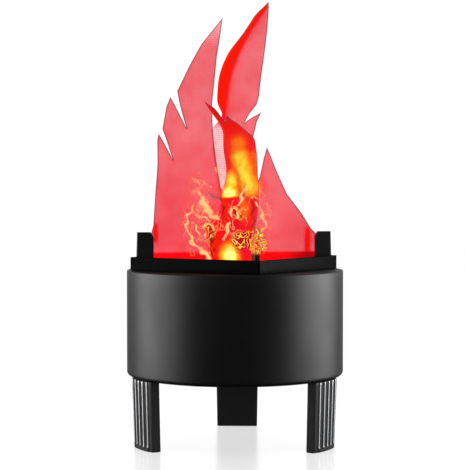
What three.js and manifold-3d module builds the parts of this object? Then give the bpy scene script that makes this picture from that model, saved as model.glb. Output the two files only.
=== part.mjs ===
// Silk flame effect light: a round table-top brazier on three legs. A fan under a square collar
// blows up four silk wings that stand on the collar's corner posts, and LEDs light them from below.
// Millimetres, +Z up. The origin is on the floor under the drum's axis, the rear leg towards +Y.

import * as THREE from "three";
import { mergeVertices } from "three/addons/utils/BufferGeometryUtils.js";
import Module from "manifold-3d";

const wasm = await Module();
wasm.setup();

// Shared clearances and counts
const fit = 0.3; // gap between pieces that seat on each other
const overrun = 1; // how far a cut runs past the face that it opens
const fuse = 0.4; // how far a joined boss sinks into its wall
const roundSides = 64;
const holeSides = 10;
const screwSides = 6;

// Drum
const drumRadius = 115;
const drumHeight = 111.2;
const drumWall = 2.4;
const drumTopEdge = 1.2;
const drumBottomEdge = 4.5;
const lipWidth = 1.5;
const lipHeight = 2.9;
const towerRadius = 4;
const towerInset = 17.6; // from the drum's inner wall to the middle of a tower
const towerDepth = 16;

// Legs
const legHeight = 72.1;
const legInset = 1; // from the drum's side in to the ribs' crests
const legWidth = 47.7;
const legThickness = 13.4;
const legWidthTaperShare = 0.05;
const legLean = 2.2;
const legWall = 2.2;
const legFloor = 3;
const legEdge = 0.6;
const legTurn = THREE.MathUtils.degToRad(60); // from the front to each front leg
const legTurns = { left: -legTurn, right: legTurn, rear: Math.PI };
const ribCount = 5;
const ribPitch = 8.3;
const ribWidth = 2;
const ribHeight = 1.2;
const legBossRadius = 3.6;
const legBossSpread = 14;
const legBossInset = 9.4;
const legBossDepth = 14;

// Base plate
const plateThickness = 2.6;
const slotWidth = 3.6;
const slotPitch = 8.4;
const intakeMargin = 7.5; // the intake is this much smaller than the fan's duct
const slotBridge = 5;
const standoffRadius = 3;
const standoffHeight = 6;

// Screws: radius of the thread, of the head, and the head's height
const screwRadius = 1.4;
const screwHead = 2.8;
const screwHeadHeight = 1.8;
const clearHole = screwRadius + fit;
const pilotHole = screwRadius + fit;
const legScrewLength = 11;
const baseScrewLength = 13;
const postScrewLength = 9;
const boardScrewLength = 6;
const inletScrewLength = 5;
const fanScrewRadius = 1.8;
const fanScrewHead = 3.6;
const fanScrewLength = 20;

// Square collar: its side at the top, and the well that hangs through the deck
const collarTurn = THREE.MathUtils.degToRad(13.6);
const deckMargin = 1.863; // from the collar's corners to the drum's edge
const collarHeight = 14.1;
const collarWall = 2.4;
const collarShoulder = 3.2;
const wellWall = 2.2;
const wellDepth = 20.3;
const floorThickness = 2.4;
const collarChamfer = 0.5;
const cornerEase = 1;
const hookWidth = 12;
const hookDepth = 1.6;
const hookHeight = 5;
const leadSlot = 6;
const leadMargin = 6.3; // from the fan's side out to the leads

// Corner posts
const postMargin = 3.7; // from the collar's inner corner to a post
const postFootMargin = 3; // from the well's inner corner to a post's foot
const postWidth = 14.5;
const postThickness = 4.6;
const postRise = 26;
const postDraft = 1;
const postChamferWidth = 3.4;
const postChamferHeight = 5;
const clampDepth = 5;

// Silk
const silkThickness = 0.9;
const clampGap = 1; // from the silk's edge to the bottom of a post's slot
const silkRise = 288;
const hemLift = 15;
const seamGap = 1.3;
const pleatDepth = 1.4;
const pleatLength = 34;
const silkCell = 12;

// Fan
const fanMargin = 17.1; // from the well's outside to the fan's side
const fanDepth = 25;
const fanFlange = 3.6;
const ductMargin = 2.2; // from the fan's side to its duct
const ductWall = 2;
const fanHoleEdge = 7.2; // from the fan's sides to a screw hole
const columnRadius = 4.6;
const fanCorner = 8;
const strutWidth = 4;
const strutHeight = 3;
const hubBaseRadius = 20.5;
const hubBaseThickness = 2;
const tubeRadius = 4.6;
const tubeWall = 1;
const tubeLength = 14;
const shaftRadius = 1.6;
const boardThickness = 1.2;
const statorHeight = 8;
const statorRadius = 14.5;
const magnetWall = 2;
const airGap = 0.7;
const cupWall = 2;
const cupFloor = 2;
const cupDepth = 18;
const cupRunning = 1.8;
const bladeCount = 7;
const bladeTipGap = 2;
const bladeHeight = 15;
const bladeThickness = 2;
const bladeSpan = THREE.MathUtils.degToRad(42);
const bladeSweep = THREE.MathUtils.degToRad(16);

// Guard and LEDs
const guardWire = 1.1;
const guardOverhang = 3;
const guardRingCount = 3;
const guardPlateRadius = 23;
const guardPlate = 2.2;
const eyeletRadius = 4.4;
const pegRadius = 1.5;
const pegHeight = 2.6;
const ledBoardRadius = 21.5;
const ledBoardThickness = 1.6;
const ledCircle = 12;
const ledRadius = 4;
const ledHeight = 5.4;

// Driver board and what stands on it
const driverWidth = 70;
const driverDepth = 34;
const driverThickness = 1.6;
const driverSetback = 36.5; // from the flat to the middle of the board
const driverInset = 4;
const transformerSize = [22, 18, 17];
const coreHeight = 7;
const coreOverhang = 2;
const capacitorRadius = 5;
const capacitorHeight = 16;
const capacitorCrimp = 1;
const terminalSize = [18, 8, 9];
const wireway = 3.2;

// Flat at the back, with the power inlet and the rocker switch
const panelInset = 4.5; // from the drum's side in to the flat
const panelFoot = 9.6; // from the drum's bottom edge up to the flat
const panelHeight = 36;
const fittingSpread = 13;
const inletFlange = [15, 30];
const inletBody = [12.4, 18.6];
const inletDepth = 17;
const inletWall = 1.7;
const inletCavity = 13;
const inletPinRadius = 1.2;
const inletPinSpread = 4.3;
const inletPinLength = 8;
const flangeThickness = 2;
const inletScrewPlace = 12;
const switchFlange = [15, 21];
const switchBody = [12.8, 19];
const switchWall = 1.4;
const switchDepth = 15;
const rockerWidth = 9.4;
const rockerHalf = 7.4;
const rockerBack = 5.5;
const rockerCrest = 1.2;
const rockerPivotDepth = 3;
const rockerTilt = THREE.MathUtils.degToRad(10);
const axleRadius = 0.9;

// Wires that stay inside
const wireSides = 6;
const wireRadius = 1.3;
const leadRadius = 0.8;

// Places that follow from the sizes above
const drumBottom = legHeight + fit;
const drumTop = drumBottom + drumHeight;
const lipRadius = drumRadius - drumBottomEdge - lipWidth;
const innerRadius = drumRadius - drumWall;
const towerPlace = innerRadius - towerInset;
const legOuter = drumRadius - legInset;
const legBossPlace = legOuter - legBossInset;
const panelPlace = drumRadius - panelInset;
const panelHalf = Math.sqrt(drumRadius ** 2 - panelPlace ** 2) + drumWall / 2;
const panelLow = drumBottom + panelFoot;
const panelHigh = panelLow + panelHeight;
const panelCentre = (panelLow + panelHigh) / 2;
const driverPlace = panelPlace - driverSetback;
const plateTop = drumBottom + plateThickness;
const collarBase = drumTop + fit;
const collarTop = collarBase + collarHeight;
const diagonal = Math.SQRT1_2 * 2; // a square's corner radius is its half side times this
const collarCorner = drumRadius - deckMargin;
const collarSide = collarCorner * diagonal;
const upstandInner = collarCorner - collarWall * diagonal;
const wellSide = collarSide - 2 * collarShoulder;
const wellCorner = (wellSide / 2) * diagonal;
const wellInner = wellCorner - wellWall * diagonal;
const fanSide = wellSide - 2 * fanMargin;
const fanHolePlace = (fanSide / 2 - fanHoleEdge) * diagonal;
const ductRadius = fanSide / 2 - ductMargin;
const intakeRadius = ductRadius - intakeMargin;
const leadPlace = fanSide / 2 + leadMargin;
const guardReach = ductRadius + guardOverhang;
const postOuter = upstandInner - postMargin;
const postFoot = wellInner - postFootMargin;
const postInner = postFoot - postWidth;
const postScrewPlace = (postInner + postFoot) / 2;
const silkReach = postInner + clampDepth - clampGap;
const ledgeTop = collarBase + wellWall;
const floorBottom = collarBase - wellDepth;
const floorTop = floorBottom + floorThickness;
const postBottom = floorTop + fit;
const postTop = collarTop + postRise;
const hem = floorTop + hemLift;
const fanTop = floorBottom - fit;
const fanBottom = fanTop - fanDepth;
const cupTop = fanTop - hubBaseThickness - cupRunning;
const cupBottom = cupTop - cupDepth;
const cupRadius = statorRadius + airGap + magnetWall + fit + cupWall;
const guardBottom = floorTop + fit;
const guardTop = guardBottom + guardPlate;
const ledBottom = guardTop + fit;
const ledTop = ledBottom + ledBoardThickness;
const driverBottom = plateTop + standoffHeight + fit;
const driverTop = driverBottom + driverThickness;
const fittingPlace = panelPlace + fit;

// Materials
const plastic = (color, roughness) =>
  new THREE.MeshStandardMaterial({ color, roughness, metalness: 0, flatShading: true });
const metal = (color, roughness) =>
  new THREE.MeshStandardMaterial({ color, roughness, metalness: 1, flatShading: true });
const satinBlack = plastic(0x1b1b1c, 0.42);
const glossBlack = plastic(0x0c0c0d, 0.28);
const fanBlack = plastic(0x161617, 0.5);
const steel = metal(0x9b9da0, 0.35);
const zinc = metal(0xb4b6b8, 0.3);
const bronze = metal(0x8a6a3f, 0.45);
const ferrite = plastic(0x3a3a3c, 0.7);
const boardGreen = plastic(0x1f5a34, 0.5);
const boardWhite = plastic(0xe9e9e4, 0.45);
const lensClear = plastic(0xffc46a, 0.12);
const tapeYellow = plastic(0xd8b53a, 0.5);
const sleeveBlue = plastic(0x24344f, 0.35);
const terminalGreen = plastic(0x2f7d4a, 0.5);
const wireBlack = plastic(0x1a1a1a, 0.55);
const wireRed = plastic(0x9c1f1a, 0.55);
const silkRed = new THREE.MeshStandardMaterial({
  color: 0xf03a3c,
  roughness: 0.6,
  metalness: 0,
  side: THREE.DoubleSide,
});

// Solids, joins and cuts
function toSolid(geometry) {
  const bare = geometry.clone();
  bare.deleteAttribute("normal");
  bare.deleteAttribute("uv");
  const merged = mergeVertices(bare);
  return new wasm.Manifold(
    new wasm.Mesh({
      numProp: 3,
      vertProperties: merged.attributes.position.array,
      triVerts: new Uint32Array(merged.index.array),
    }),
  );
}

function fromSolid(solid) {
  const mesh = solid.getMesh();
  const geometry = new THREE.BufferGeometry();
  geometry.setAttribute("position", new THREE.BufferAttribute(mesh.vertProperties, mesh.numProp));
  geometry.setIndex(new THREE.BufferAttribute(mesh.triVerts, 1));
  return geometry;
}

function join(first, ...others) {
  return fromSolid(others.reduce((sum, other) => sum.add(toSolid(other)), toSolid(first)));
}

function cut(first, ...others) {
  return fromSolid(others.reduce((rest, other) => rest.subtract(toSolid(other)), toSolid(first)));
}

function common(first, second) {
  return fromSolid(toSolid(first).intersect(toSolid(second)));
}

// A profile of [radius, height] points turned about Z. Four sides give a square, its corners on the axes.
function revolve(profile, sides = roundSides) {
  const points = profile.map(([radius, height]) => new THREE.Vector2(radius, height));
  return new THREE.LatheGeometry(points, sides).rotateX(Math.PI / 2);
}

function rod(radius, low, high, sides = holeSides, x = 0, y = 0) {
  const profile = [[0, low], [radius, low], [radius, high], [0, high]];
  return revolve(profile, sides).translate(x, y, 0);
}

function ring(outer, inner, low, high, sides = roundSides) {
  return revolve([[inner, low], [outer, low], [outer, high], [inner, high], [inner, low]], sides);
}

// A block between two limits on each axis.
function block([x0, x1], [y0, y1], [z0, z1]) {
  return new THREE.BoxGeometry(x1 - x0, y1 - y0, z1 - z0).translate(
    (x0 + x1) / 2,
    (y0 + y1) / 2,
    (z0 + z1) / 2,
  );
}

function outline(points) {
  return new THREE.Shape(points.map(([x, y]) => new THREE.Vector2(x, y)));
}

function extrude(shape, depth, curveSegments = 4) {
  return new THREE.ExtrudeGeometry(shape, { depth, bevelEnabled: false, curveSegments });
}

// Points of an arc in a profile, from one angle to another, in degrees.
function arc(x, y, radius, from, to, steps) {
  return Array.from({ length: steps + 1 }, (_, i) => {
    const angle = THREE.MathUtils.degToRad(from + ((to - from) * i) / steps);
    return [x + radius * Math.cos(angle), y + radius * Math.sin(angle)];
  });
}

function reshape(geometry, move) {
  const place = geometry.attributes.position;
  const point = new THREE.Vector3();
  for (let i = 0; i < place.count; i++) {
    point.fromBufferAttribute(place, i);
    move(point);
    place.setXYZ(i, point.x, point.y, point.z);
  }
  return geometry;
}

const part = new THREE.Group();
const head = new THREE.Group(); // what turns with the square collar: its corners lie on X and Y
head.rotation.z = collarTurn;
part.add(head);

function addPiece(group, name, geometry, material) {
  geometry.computeVertexNormals();
  const piece = new THREE.Mesh(geometry, material);
  piece.name = name;
  group.add(piece);
  return piece;
}

// A pan head screw whose head seats at z = 0 and whose shank points down.
function screw(length, radius = screwRadius, headRadius = screwHead, headHeight = screwHeadHeight) {
  return revolve(
    [
      [0, -length],
      [radius, -length],
      [radius, 0],
      [headRadius, 0],
      [headRadius, headHeight / 2],
      [headRadius / 2, headHeight],
      [0, headHeight],
    ],
    screwSides,
  );
}

// Places four copies a quarter turn apart, starting at the given angle.
function quarters(start = 0) {
  return [0, 1, 2, 3].map((i) => start + (i * Math.PI) / 2);
}

// Drum: one moulding, open below, with the deck on top and a flat at the back
function makeDrum() {
  const shell = revolve([
    [0, drumTop - drumWall],
    [innerRadius, drumTop - drumWall],
    [innerRadius, drumBottom + lipHeight],
    [lipRadius, drumBottom + lipHeight],
    [lipRadius, drumBottom],
    ...arc(drumRadius - drumBottomEdge, drumBottom + drumBottomEdge, drumBottomEdge, -90, 0, 4),
    ...arc(drumRadius - drumTopEdge, drumTop - drumTopEdge, drumTopEdge, 0, 90, 2),
    [0, drumTop],
  ]);
  const deckHole = rod(
    wellCorner + fit * diagonal,
    drumTop - drumWall - overrun,
    drumTop + overrun,
    4,
  ).rotateZ(collarTurn);
  const towers = quarters(collarTurn + Math.PI / 4).map((angle) => {
    const tower = rod(towerRadius, plateTop + fit, drumTop - drumWall + fuse, holeSides, towerPlace);
    return tower.rotateZ(angle);
  });
  const pilots = quarters(collarTurn + Math.PI / 4).map((angle) => {
    const hole = rod(pilotHole, plateTop - overrun, plateTop + towerDepth, holeSides, towerPlace);
    return hole.rotateZ(angle);
  });
  const panelBlock = common(
    block(
      [-panelHalf, panelHalf],
      [panelPlace - drumWall, drumRadius],
      [panelLow - drumWall, panelHigh + drumWall],
    ),
    rod(innerRadius + drumWall / 2, drumBottom, drumTop, roundSides),
  );
  const panelCut = block(
    [-drumRadius, drumRadius],
    [panelPlace, drumRadius + overrun],
    [panelLow, panelHigh],
  );
  const wallRun = [panelPlace - drumWall - overrun, drumRadius];
  const inletHole = boxHole(-fittingSpread, inletBody, wallRun);
  const switchHole = boxHole(fittingSpread, switchBody, wallRun);
  const inletPilots = [-inletScrewPlace, inletScrewPlace].map((z) =>
    rod(pilotHole, wallRun[0], wallRun[1], holeSides)
      .rotateX(-Math.PI / 2)
      .translate(-fittingSpread, 0, panelCentre + z),
  );
  return cut(
    join(shell, panelBlock, ...towers),
    deckHole,
    panelCut,
    inletHole,
    switchHole,
    ...inletPilots,
    ...pilots,
  );
}

// The hole in the back flat that a fitting's body goes through, with its clearance.
function boxHole(x, [width, height], run) {
  const halfWidth = width / 2 + fit;
  const halfHeight = height / 2 + fit;
  return block(
    [x - halfWidth, x + halfWidth],
    run,
    [panelCentre - halfHeight, panelCentre + halfHeight],
  );
}

// Base plate: closes the drum, with rows of intake slots, standoffs and screw holes
function slotPath(x0, x1, y) {
  const radius = slotWidth / 2;
  const path = new THREE.Path();
  path.absarc(x1 - radius, y, radius, -Math.PI / 2, Math.PI / 2, false);
  path.absarc(x0 + radius, y, radius, Math.PI / 2, (3 * Math.PI) / 2, false);
  path.closePath();
  return path;
}

const standoffs = [-1, 1].flatMap((side) =>
  [-1, 1].map((row) => [
    side * (driverWidth / 2 - driverInset),
    driverPlace + row * (driverDepth / 2 - driverInset),
  ]),
);

function makePlate() {
  const shape = outline(arc(0, 0, lipRadius - fit, 0, 360, roundSides).slice(1));
  const rows = Math.floor((intakeRadius - slotWidth) / slotPitch);
  for (let row = -rows; row <= rows; row++) {
    const y = row * slotPitch;
    const reach = Math.sqrt(intakeRadius ** 2 - y ** 2);
    shape.holes.push(slotPath(slotBridge / 2, reach, y));
    shape.holes.push(slotPath(-reach, -slotBridge / 2, y));
  }
  const disc = extrude(shape, plateThickness, 3).translate(0, 0, drumBottom);
  const posts = standoffs.map(([x, y]) =>
    rod(standoffRadius, plateTop - fuse, driverBottom - fit, holeSides, x, y),
  );
  const holes = [];
  for (const angle of Object.values(legTurns)) {
    for (const side of [-1, 1]) {
      const hole = rod(clearHole, drumBottom - overrun, plateTop + overrun);
      hole.translate(side * legBossSpread, -legBossPlace, 0);
      holes.push(hole.rotateZ(angle));
    }
  }
  for (const angle of quarters(collarTurn + Math.PI / 4)) {
    const hole = rod(clearHole, drumBottom - overrun, plateTop + overrun, holeSides, towerPlace);
    holes.push(hole.rotateZ(angle));
  }
  const pilots = standoffs.map(([x, y]) =>
    rod(pilotHole, plateTop, driverBottom, holeSides, x, y),
  );
  return cut(join(disc, ...posts), ...holes, ...pilots);
}

// Leg: a hollow moulding whose outer face follows the drum and carries upright ribs
function legSection(inset) {
  const face = legOuter - ribHeight - inset;
  const half = legWidth / 2 - inset;
  const back = legOuter - legThickness + inset;
  const points = [[-half, -back], [-half, -Math.sqrt(face ** 2 - half ** 2)]];
  if (inset === 0) {
    for (let i = 0; i < ribCount; i++) {
      const middle = ((i - (ribCount - 1) / 2) * ribPitch) / face;
      const foot = ribWidth / 2 / face;
      const crest = foot / 2;
      for (const [turn, radius] of [
        [middle - foot, face],
        [middle - crest, legOuter],
        [middle + crest, legOuter],
        [middle + foot, face],
      ]) {
        points.push([radius * Math.sin(turn), -radius * Math.cos(turn)]);
      }
    }
  } else {
    points.push([0, -face]);
  }
  points.push([half, -Math.sqrt(face ** 2 - half ** 2)], [half, -back]);
  return outline(points);
}

function makeLeg() {
  const taper = (point) => {
    const down = 1 - point.z / legHeight;
    point.x *= 1 - legWidthTaperShare * down;
    point.y += legLean * down;
  };
  const outside = new THREE.ExtrudeGeometry(legSection(0), {
    depth: legHeight - 2 * legEdge,
    bevelEnabled: true,
    bevelThickness: legEdge,
    bevelSize: legEdge,
    bevelOffset: -legEdge,
    bevelSegments: 1,
  }).translate(0, 0, legEdge);
  const pocket = extrude(legSection(legWall), legHeight).translate(0, 0, legFloor);
  const bosses = [];
  const pilots = [];
  for (const side of [-1, 1]) {
    const place = [side * legBossSpread, -legBossPlace];
    bosses.push(rod(legBossRadius, legFloor - fuse, legHeight, holeSides, ...place));
    const bottom = legHeight - legBossDepth;
    pilots.push(rod(pilotHole, bottom, legHeight + overrun, holeSides, ...place));
  }
  const shell = cut(reshape(outside, taper), reshape(pocket, taper));
  const inside = common(join(...bosses), reshape(legBody(), taper));
  return cut(join(shell, inside), ...pilots);
}

// The leg's outline without ribs, which keeps its bosses inside its walls.
function legBody() {
  return extrude(legSection(legWall / 2), legHeight);
}

// Square collar: an upstand on the deck and a well through it, whose floor has the fan's outlet
function makeCollar() {
  const rim = collarChamfer * diagonal;
  const tub = revolve(
    [
      [0, floorBottom],
      [wellCorner, floorBottom],
      [wellCorner, collarBase],
      [collarCorner, collarBase],
      [collarCorner, collarTop - collarChamfer],
      [collarCorner - rim, collarTop],
      [upstandInner + rim, collarTop],
      [upstandInner, collarTop - collarChamfer],
      [upstandInner, ledgeTop],
      [wellInner, ledgeTop],
      [wellInner, floorTop],
      [0, floorTop],
    ],
    4,
  );
  const eased = collarCorner - cornerEase;
  const body = common(tub, block([-eased, eased], [-eased, eased], [floorBottom, collarTop]));
  const hookTop = drumTop - drumWall - fit;
  const hooks = quarters(Math.PI / 4).map((angle) => {
    const wedge = outline([
      [wellSide / 2 - fuse, hookTop - hookHeight],
      [wellSide / 2, hookTop - hookHeight],
      [wellSide / 2 + hookDepth, hookTop],
      [wellSide / 2 - fuse, hookTop],
    ]);
    const hook = extrude(wedge, hookWidth).translate(0, 0, -hookWidth / 2).rotateX(Math.PI / 2);
    return hook.rotateZ(angle);
  });
  const down = [floorBottom - overrun, floorTop + overrun];
  const outlet = rod(ductRadius, ...down, roundSides / 2);
  const fanHoles = quarters().map((angle) =>
    rod(fanScrewRadius + fit, ...down, holeSides, fanHolePlace).rotateZ(angle),
  );
  const postHoles = quarters().map((angle) =>
    rod(clearHole, ...down, holeSides, postScrewPlace).rotateZ(angle),
  );
  const leadWay = join(
    rod(leadSlot / 2, ...down, holeSides, leadPlace),
    block([ductRadius - overrun, leadPlace], [-leadSlot / 2, leadSlot / 2], down),
  ).rotateZ(Math.PI / 4);
  return cut(join(body, ...hooks), outlet, leadWay, ...fanHoles, ...postHoles);
}

// Corner post: an upright blade on the diagonal, slotted along its inner edge for the silk
function makePost() {
  const blade = extrude(
    outline([
      [postInner, postBottom],
      [postFoot, postBottom],
      [postFoot, ledgeTop + fit],
      [postOuter, ledgeTop + fit],
      [postOuter - postDraft, postTop],
      [postInner + postChamferWidth, postTop],
      [postInner, postTop - postChamferHeight],
    ]),
    postThickness,
  )
    .translate(0, 0, -postThickness / 2)
    .rotateX(Math.PI / 2);
  const slotHalf = silkThickness / 2 + fit;
  const slot = block(
    [postInner - overrun, postInner + clampDepth],
    [-slotHalf, slotHalf],
    [hem - fit, postTop + overrun],
  );
  const pilot = rod(
    pilotHole,
    postBottom - overrun,
    postBottom + postScrewLength,
    holeSides,
    postScrewPlace,
  );
  return cut(blade, slot, pilot);
}

// Silk wings. Each is cut flat from an outline of [reach, rise] shares, rippled, and hung on a surface.
const seamTopShare = 0.3; // below this share of the rise, the inner edge lies along the seam
const clothWidthShare = 1.2; // the uncut cloth, as a share of the reach
const clothMiddleShare = 0.4; // where its middle lies, as a share of its width
const leftWingShares = [
  [0.99, 0], [0.99, 0.13], [0.97, 0.17], [0.93, 0.3], [0.91, 0.39], [0.91, 0.48], [0.89, 0.505],
  [0.72, 0.41], [0.85, 0.52], [0.8, 0.6], [0.76, 0.64], [0.56, 0.53], [0.64, 0.61], [0.67, 0.66],
  [0.52, 0.76], [0.38, 0.84], [0.28, 0.88], [0.14, 0.93], [0.17, 0.885], [0.21, 0.79], [0.25, 0.68],
  [0.27, 0.61], [0.26, 0.54], [0.22, 0.425], [0.17, 0.31], [0.1, 0.275], [0, 0.25], [0, 0],
];
const rightWingShares = [
  [0.99, 0], [0.99, 0.135], [0.91, 0.16], [0.8, 0.215], [0.63, 0.29], [0.51, 0.375], [0.44, 0.43],
  [0.39, 0.458], [0.35, 0.42], [0.3, 0.35], [0.24, 0.305], [0.13, 0.265], [0, 0.24], [0, 0],
];
const frontWingShares = [
  [0.99, 0], [0.99, 0.145], [1.07, 0.25], [1.11, 0.35], [1.09, 0.42], [1, 0.465], [0.91, 0.5],
  [0.8, 0.523], [0.67, 0.553], [0.58, 0.59], [0.43, 0.622], [0.39, 0.59], [0.33, 0.55], [0.26, 0.51],
  [0.2, 0.44], [0.11, 0.345], [0, 0.265], [0, 0],
];
const rearWingShares = [
  [0.99, 0], [0.99, 0.145], [1.01, 0.27], [0.96, 0.41], [0.83, 0.55], [0.67, 0.65], [0.6, 0.74],
  [0.46, 0.81], [0.3, 0.88], [0.15, 0.95], [0, 1], [0, 0.85], [0, 0.65], [0.02, 0.62], [0.11, 0.58],
  [0.16, 0.553], [-0.04, 0.592], [0.01, 0.555], [0.04, 0.5], [0.03, 0.375], [0, 0.28], [0, 0],
];

// How the silk hangs: where the blown folds start and end, and how far they stand out
const frontBillow = 22;
const frontLean = 20;
const frontLeanStart = 143;
const frontBillowStart = 60;
const rearTurnStart = 44;
const rearTurnEnd = 158;
const tongueRight = 24;
const tongueDrift = 12;
const tongueBack = 12;
const tongueWidth = 42;
const tongueFoldEnd = 288;
const tongueFoldStart = 200;
const tongueFoldPower = 1.9;
const foldRadius = 4;
const viewTurn = THREE.MathUtils.degToRad(12.2); // from the front post to the side that the tongue faces
const sideBillow = 5;

const smooth = THREE.MathUtils.smoothstep;
const foldShape = (s) => {
  const span = postInner - clampDepth;
  return s > 0 && s < span ? Math.sin((Math.PI * s) / span) ** 2 : 0;
};
const pleats = (s, h) => pleatDepth * Math.sin((2 * Math.PI * (s + h / 4)) / pleatLength);

// Small ripples that die out at the seam and in the post's clamp.
function ripple(s, h) {
  const held = 1 - smooth(h, postTop - hem, postTop - hem + pleatLength);
  const free = smooth(s, 0, pleatLength / 2);
  return pleats(s, h) * free * (held * foldShape(s) + 1 - held);
}

// Each surface takes the distance from the seam and the height over the hem, and gives
// [distance along the wing, sideways, height over the hem].
const sideSurface = (sign) => (s, h) => [
  s,
  ripple(s, h) + sign * sideBillow * foldShape(s) * smooth(h, 0, frontBillowStart),
  h,
];

function frontSurface(s, h) {
  const full = frontBillow * smooth(h, 0, frontBillowStart);
  const lean = frontLean * smooth(h, frontLeanStart, frontLeanStart + tongueWidth);
  return [s, ripple(s, h) - foldShape(s) * (full + lean), h];
}

// The rear wing leaves its post edge-on and turns to face forward higher up, its far edge rolled behind.
function rearSurface(s, h) {
  const turn = smooth(h, rearTurnStart, rearTurnEnd);
  const rolled = (h - tongueFoldStart) / (tongueFoldEnd - tongueFoldStart);
  const shrink = 1 - THREE.MathUtils.clamp(rolled, 0, 1) ** tongueFoldPower;
  const width = tongueWidth * Math.max(shrink, foldRadius / tongueWidth);
  const right = tongueRight + tongueDrift * smooth(h, rearTurnEnd, silkRise);
  const past = s - width;
  const roll = Math.PI * foldRadius;
  let across = right - s;
  let back = tongueBack;
  if (past > roll) {
    across = right - width + past - roll;
    back += 2 * foldRadius;
  } else if (past > 0) {
    across = right - width - foldRadius * Math.sin(past / foldRadius);
    back += foldRadius * (1 - Math.cos(past / foldRadius));
  }
  const x = across * Math.cos(viewTurn) + back * Math.sin(viewTurn);
  const y = back * Math.cos(viewTurn) - across * Math.sin(viewTurn);
  return [y * turn + s * (1 - turn), ripple(s, h) - x * turn, h];
}

function makeWing(shares, surface) {
  const points = shares.map(([reach, rise]) => [
    reach === 0 && rise < seamTopShare ? seamGap : reach * silkReach,
    rise * silkRise,
  ]);
  const reach = clothWidthShare * silkReach;
  const columns = Math.round(reach / silkCell);
  const rows = Math.round(silkRise / silkCell);
  const cloth = new THREE.BoxGeometry(reach, silkThickness, silkRise, columns, 1, rows);
  cloth.translate(clothMiddleShare * reach, 0, silkRise / 2);
  const sway = (s, h) => (pleats(s, h) * silkThickness) / (6 * pleatDepth);
  reshape(cloth, (point) => {
    point.y += sway(point.x, point.z);
  });
  const stencil = extrude(outline(points), 2 * pleatLength)
    .translate(0, 0, -pleatLength)
    .rotateX(Math.PI / 2);
  const wing = common(cloth, stencil);
  const step = silkThickness / 4;
  const mid = (s, h) => new THREE.Vector3(...surface(s, h));
  reshape(wing, (point) => {
    const { x: s, z: h } = point;
    const off = (Math.sign(point.y - sway(s, h)) * silkThickness) / 2;
    const along = mid(s + step, h).sub(mid(s - step, h));
    const up = mid(s, h + step).sub(mid(s, h - step));
    const normal = up.cross(along).normalize();
    point.copy(mid(s, h)).addScaledVector(normal, off);
    point.z += hem;
  });
  return wing;
}

// Fan: square frame with flanges, duct, struts and the bearing tube
function makeFanFrame() {
  const corner = (fanSide / 2) * diagonal;
  const square = (low, high) => {
    const plate = rod(corner, low, high, 4);
    const trimmed = rod(corner - fanCorner / 2, low - overrun, high + overrun, roundSides / 2);
    return common(plate, trimmed);
  };
  const columns = quarters().map((angle) =>
    rod(columnRadius, fanBottom, fanTop, 8, fanHolePlace).rotateZ(angle),
  );
  const body = join(
    square(fanTop - fanFlange, fanTop),
    square(fanBottom, fanBottom + fanFlange),
    rod(ductRadius + ductWall, fanBottom, fanTop, roundSides / 2),
    ...columns,
  );
  const bore = rod(ductRadius, fanBottom - overrun, fanTop + overrun, roundSides / 2);
  const holes = quarters().map((angle) =>
    rod(fanScrewRadius + fit, fanBottom - overrun, fanTop + overrun, 8, fanHolePlace).rotateZ(angle),
  );
  const shell = cut(body, bore, ...holes);
  const struts = quarters(Math.PI / 4).map((angle) =>
    block(
      [hubBaseRadius - strutWidth, ductRadius + ductWall / 2],
      [-strutWidth / 2, strutWidth / 2],
      [fanTop - strutHeight, fanTop],
    ).rotateZ(angle),
  );
  const hub = rod(hubBaseRadius, fanTop - hubBaseThickness, fanTop, 24);
  const tube = rod(tubeRadius, fanTop - hubBaseThickness - tubeLength, fanTop - fuse, 16);
  const tubeBore = rod(
    tubeRadius - tubeWall,
    fanTop - hubBaseThickness - tubeLength - overrun,
    fanTop - hubBaseThickness,
    16,
  );
  const clear = ring(
    hubBaseRadius + overrun,
    tubeRadius,
    fanTop - hubBaseThickness - strutHeight,
    fanTop - hubBaseThickness,
    24,
  );
  return join(shell, cut(join(hub, tube, cut(join(...struts), clear)), tubeBore));
}

// Rotor: a cup over the motor with seven swept blades
function makeRotor() {
  const bore = shaftRadius + fit;
  const boss = bore + cupWall;
  const bossTop = cupBottom + cupFloor + cupWall;
  const cup = revolve(
    [
      [0, cupBottom],
      [cupRadius - cupWall / 2, cupBottom],
      [cupRadius, cupBottom + cupWall / 2],
      [cupRadius, cupTop],
      [cupRadius - cupWall, cupTop],
      [cupRadius - cupWall, cupBottom + cupFloor],
      [boss, cupBottom + cupFloor],
      [boss, bossTop],
      [bore, bossTop],
      [bore, cupBottom + cupFloor],
      [0, cupBottom + cupFloor],
    ],
    24,
  );
  const root = cupRadius - cupWall / 2;
  const tip = ductRadius - bladeTipGap;
  const middle = (cupTop + cupBottom) / 2;
  const blades = Array.from({ length: bladeCount }, (_, i) => {
    const blade = new THREE.BoxGeometry(tip - root, 1, bladeThickness, 4, 3, 1);
    reshape(blade, (point) => {
      const out = point.x / (tip - root) + 1 / 2;
      const radius = root + out * (tip - root);
      const angle = bladeSpan * point.y + bladeSweep * out ** 2;
      point.z += middle - bladeHeight * point.y;
      point.x = radius * Math.cos(angle);
      point.y = radius * Math.sin(angle);
    });
    return blade.rotateZ((2 * Math.PI * i) / bladeCount);
  });
  return join(cup, ...blades);
}

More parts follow.
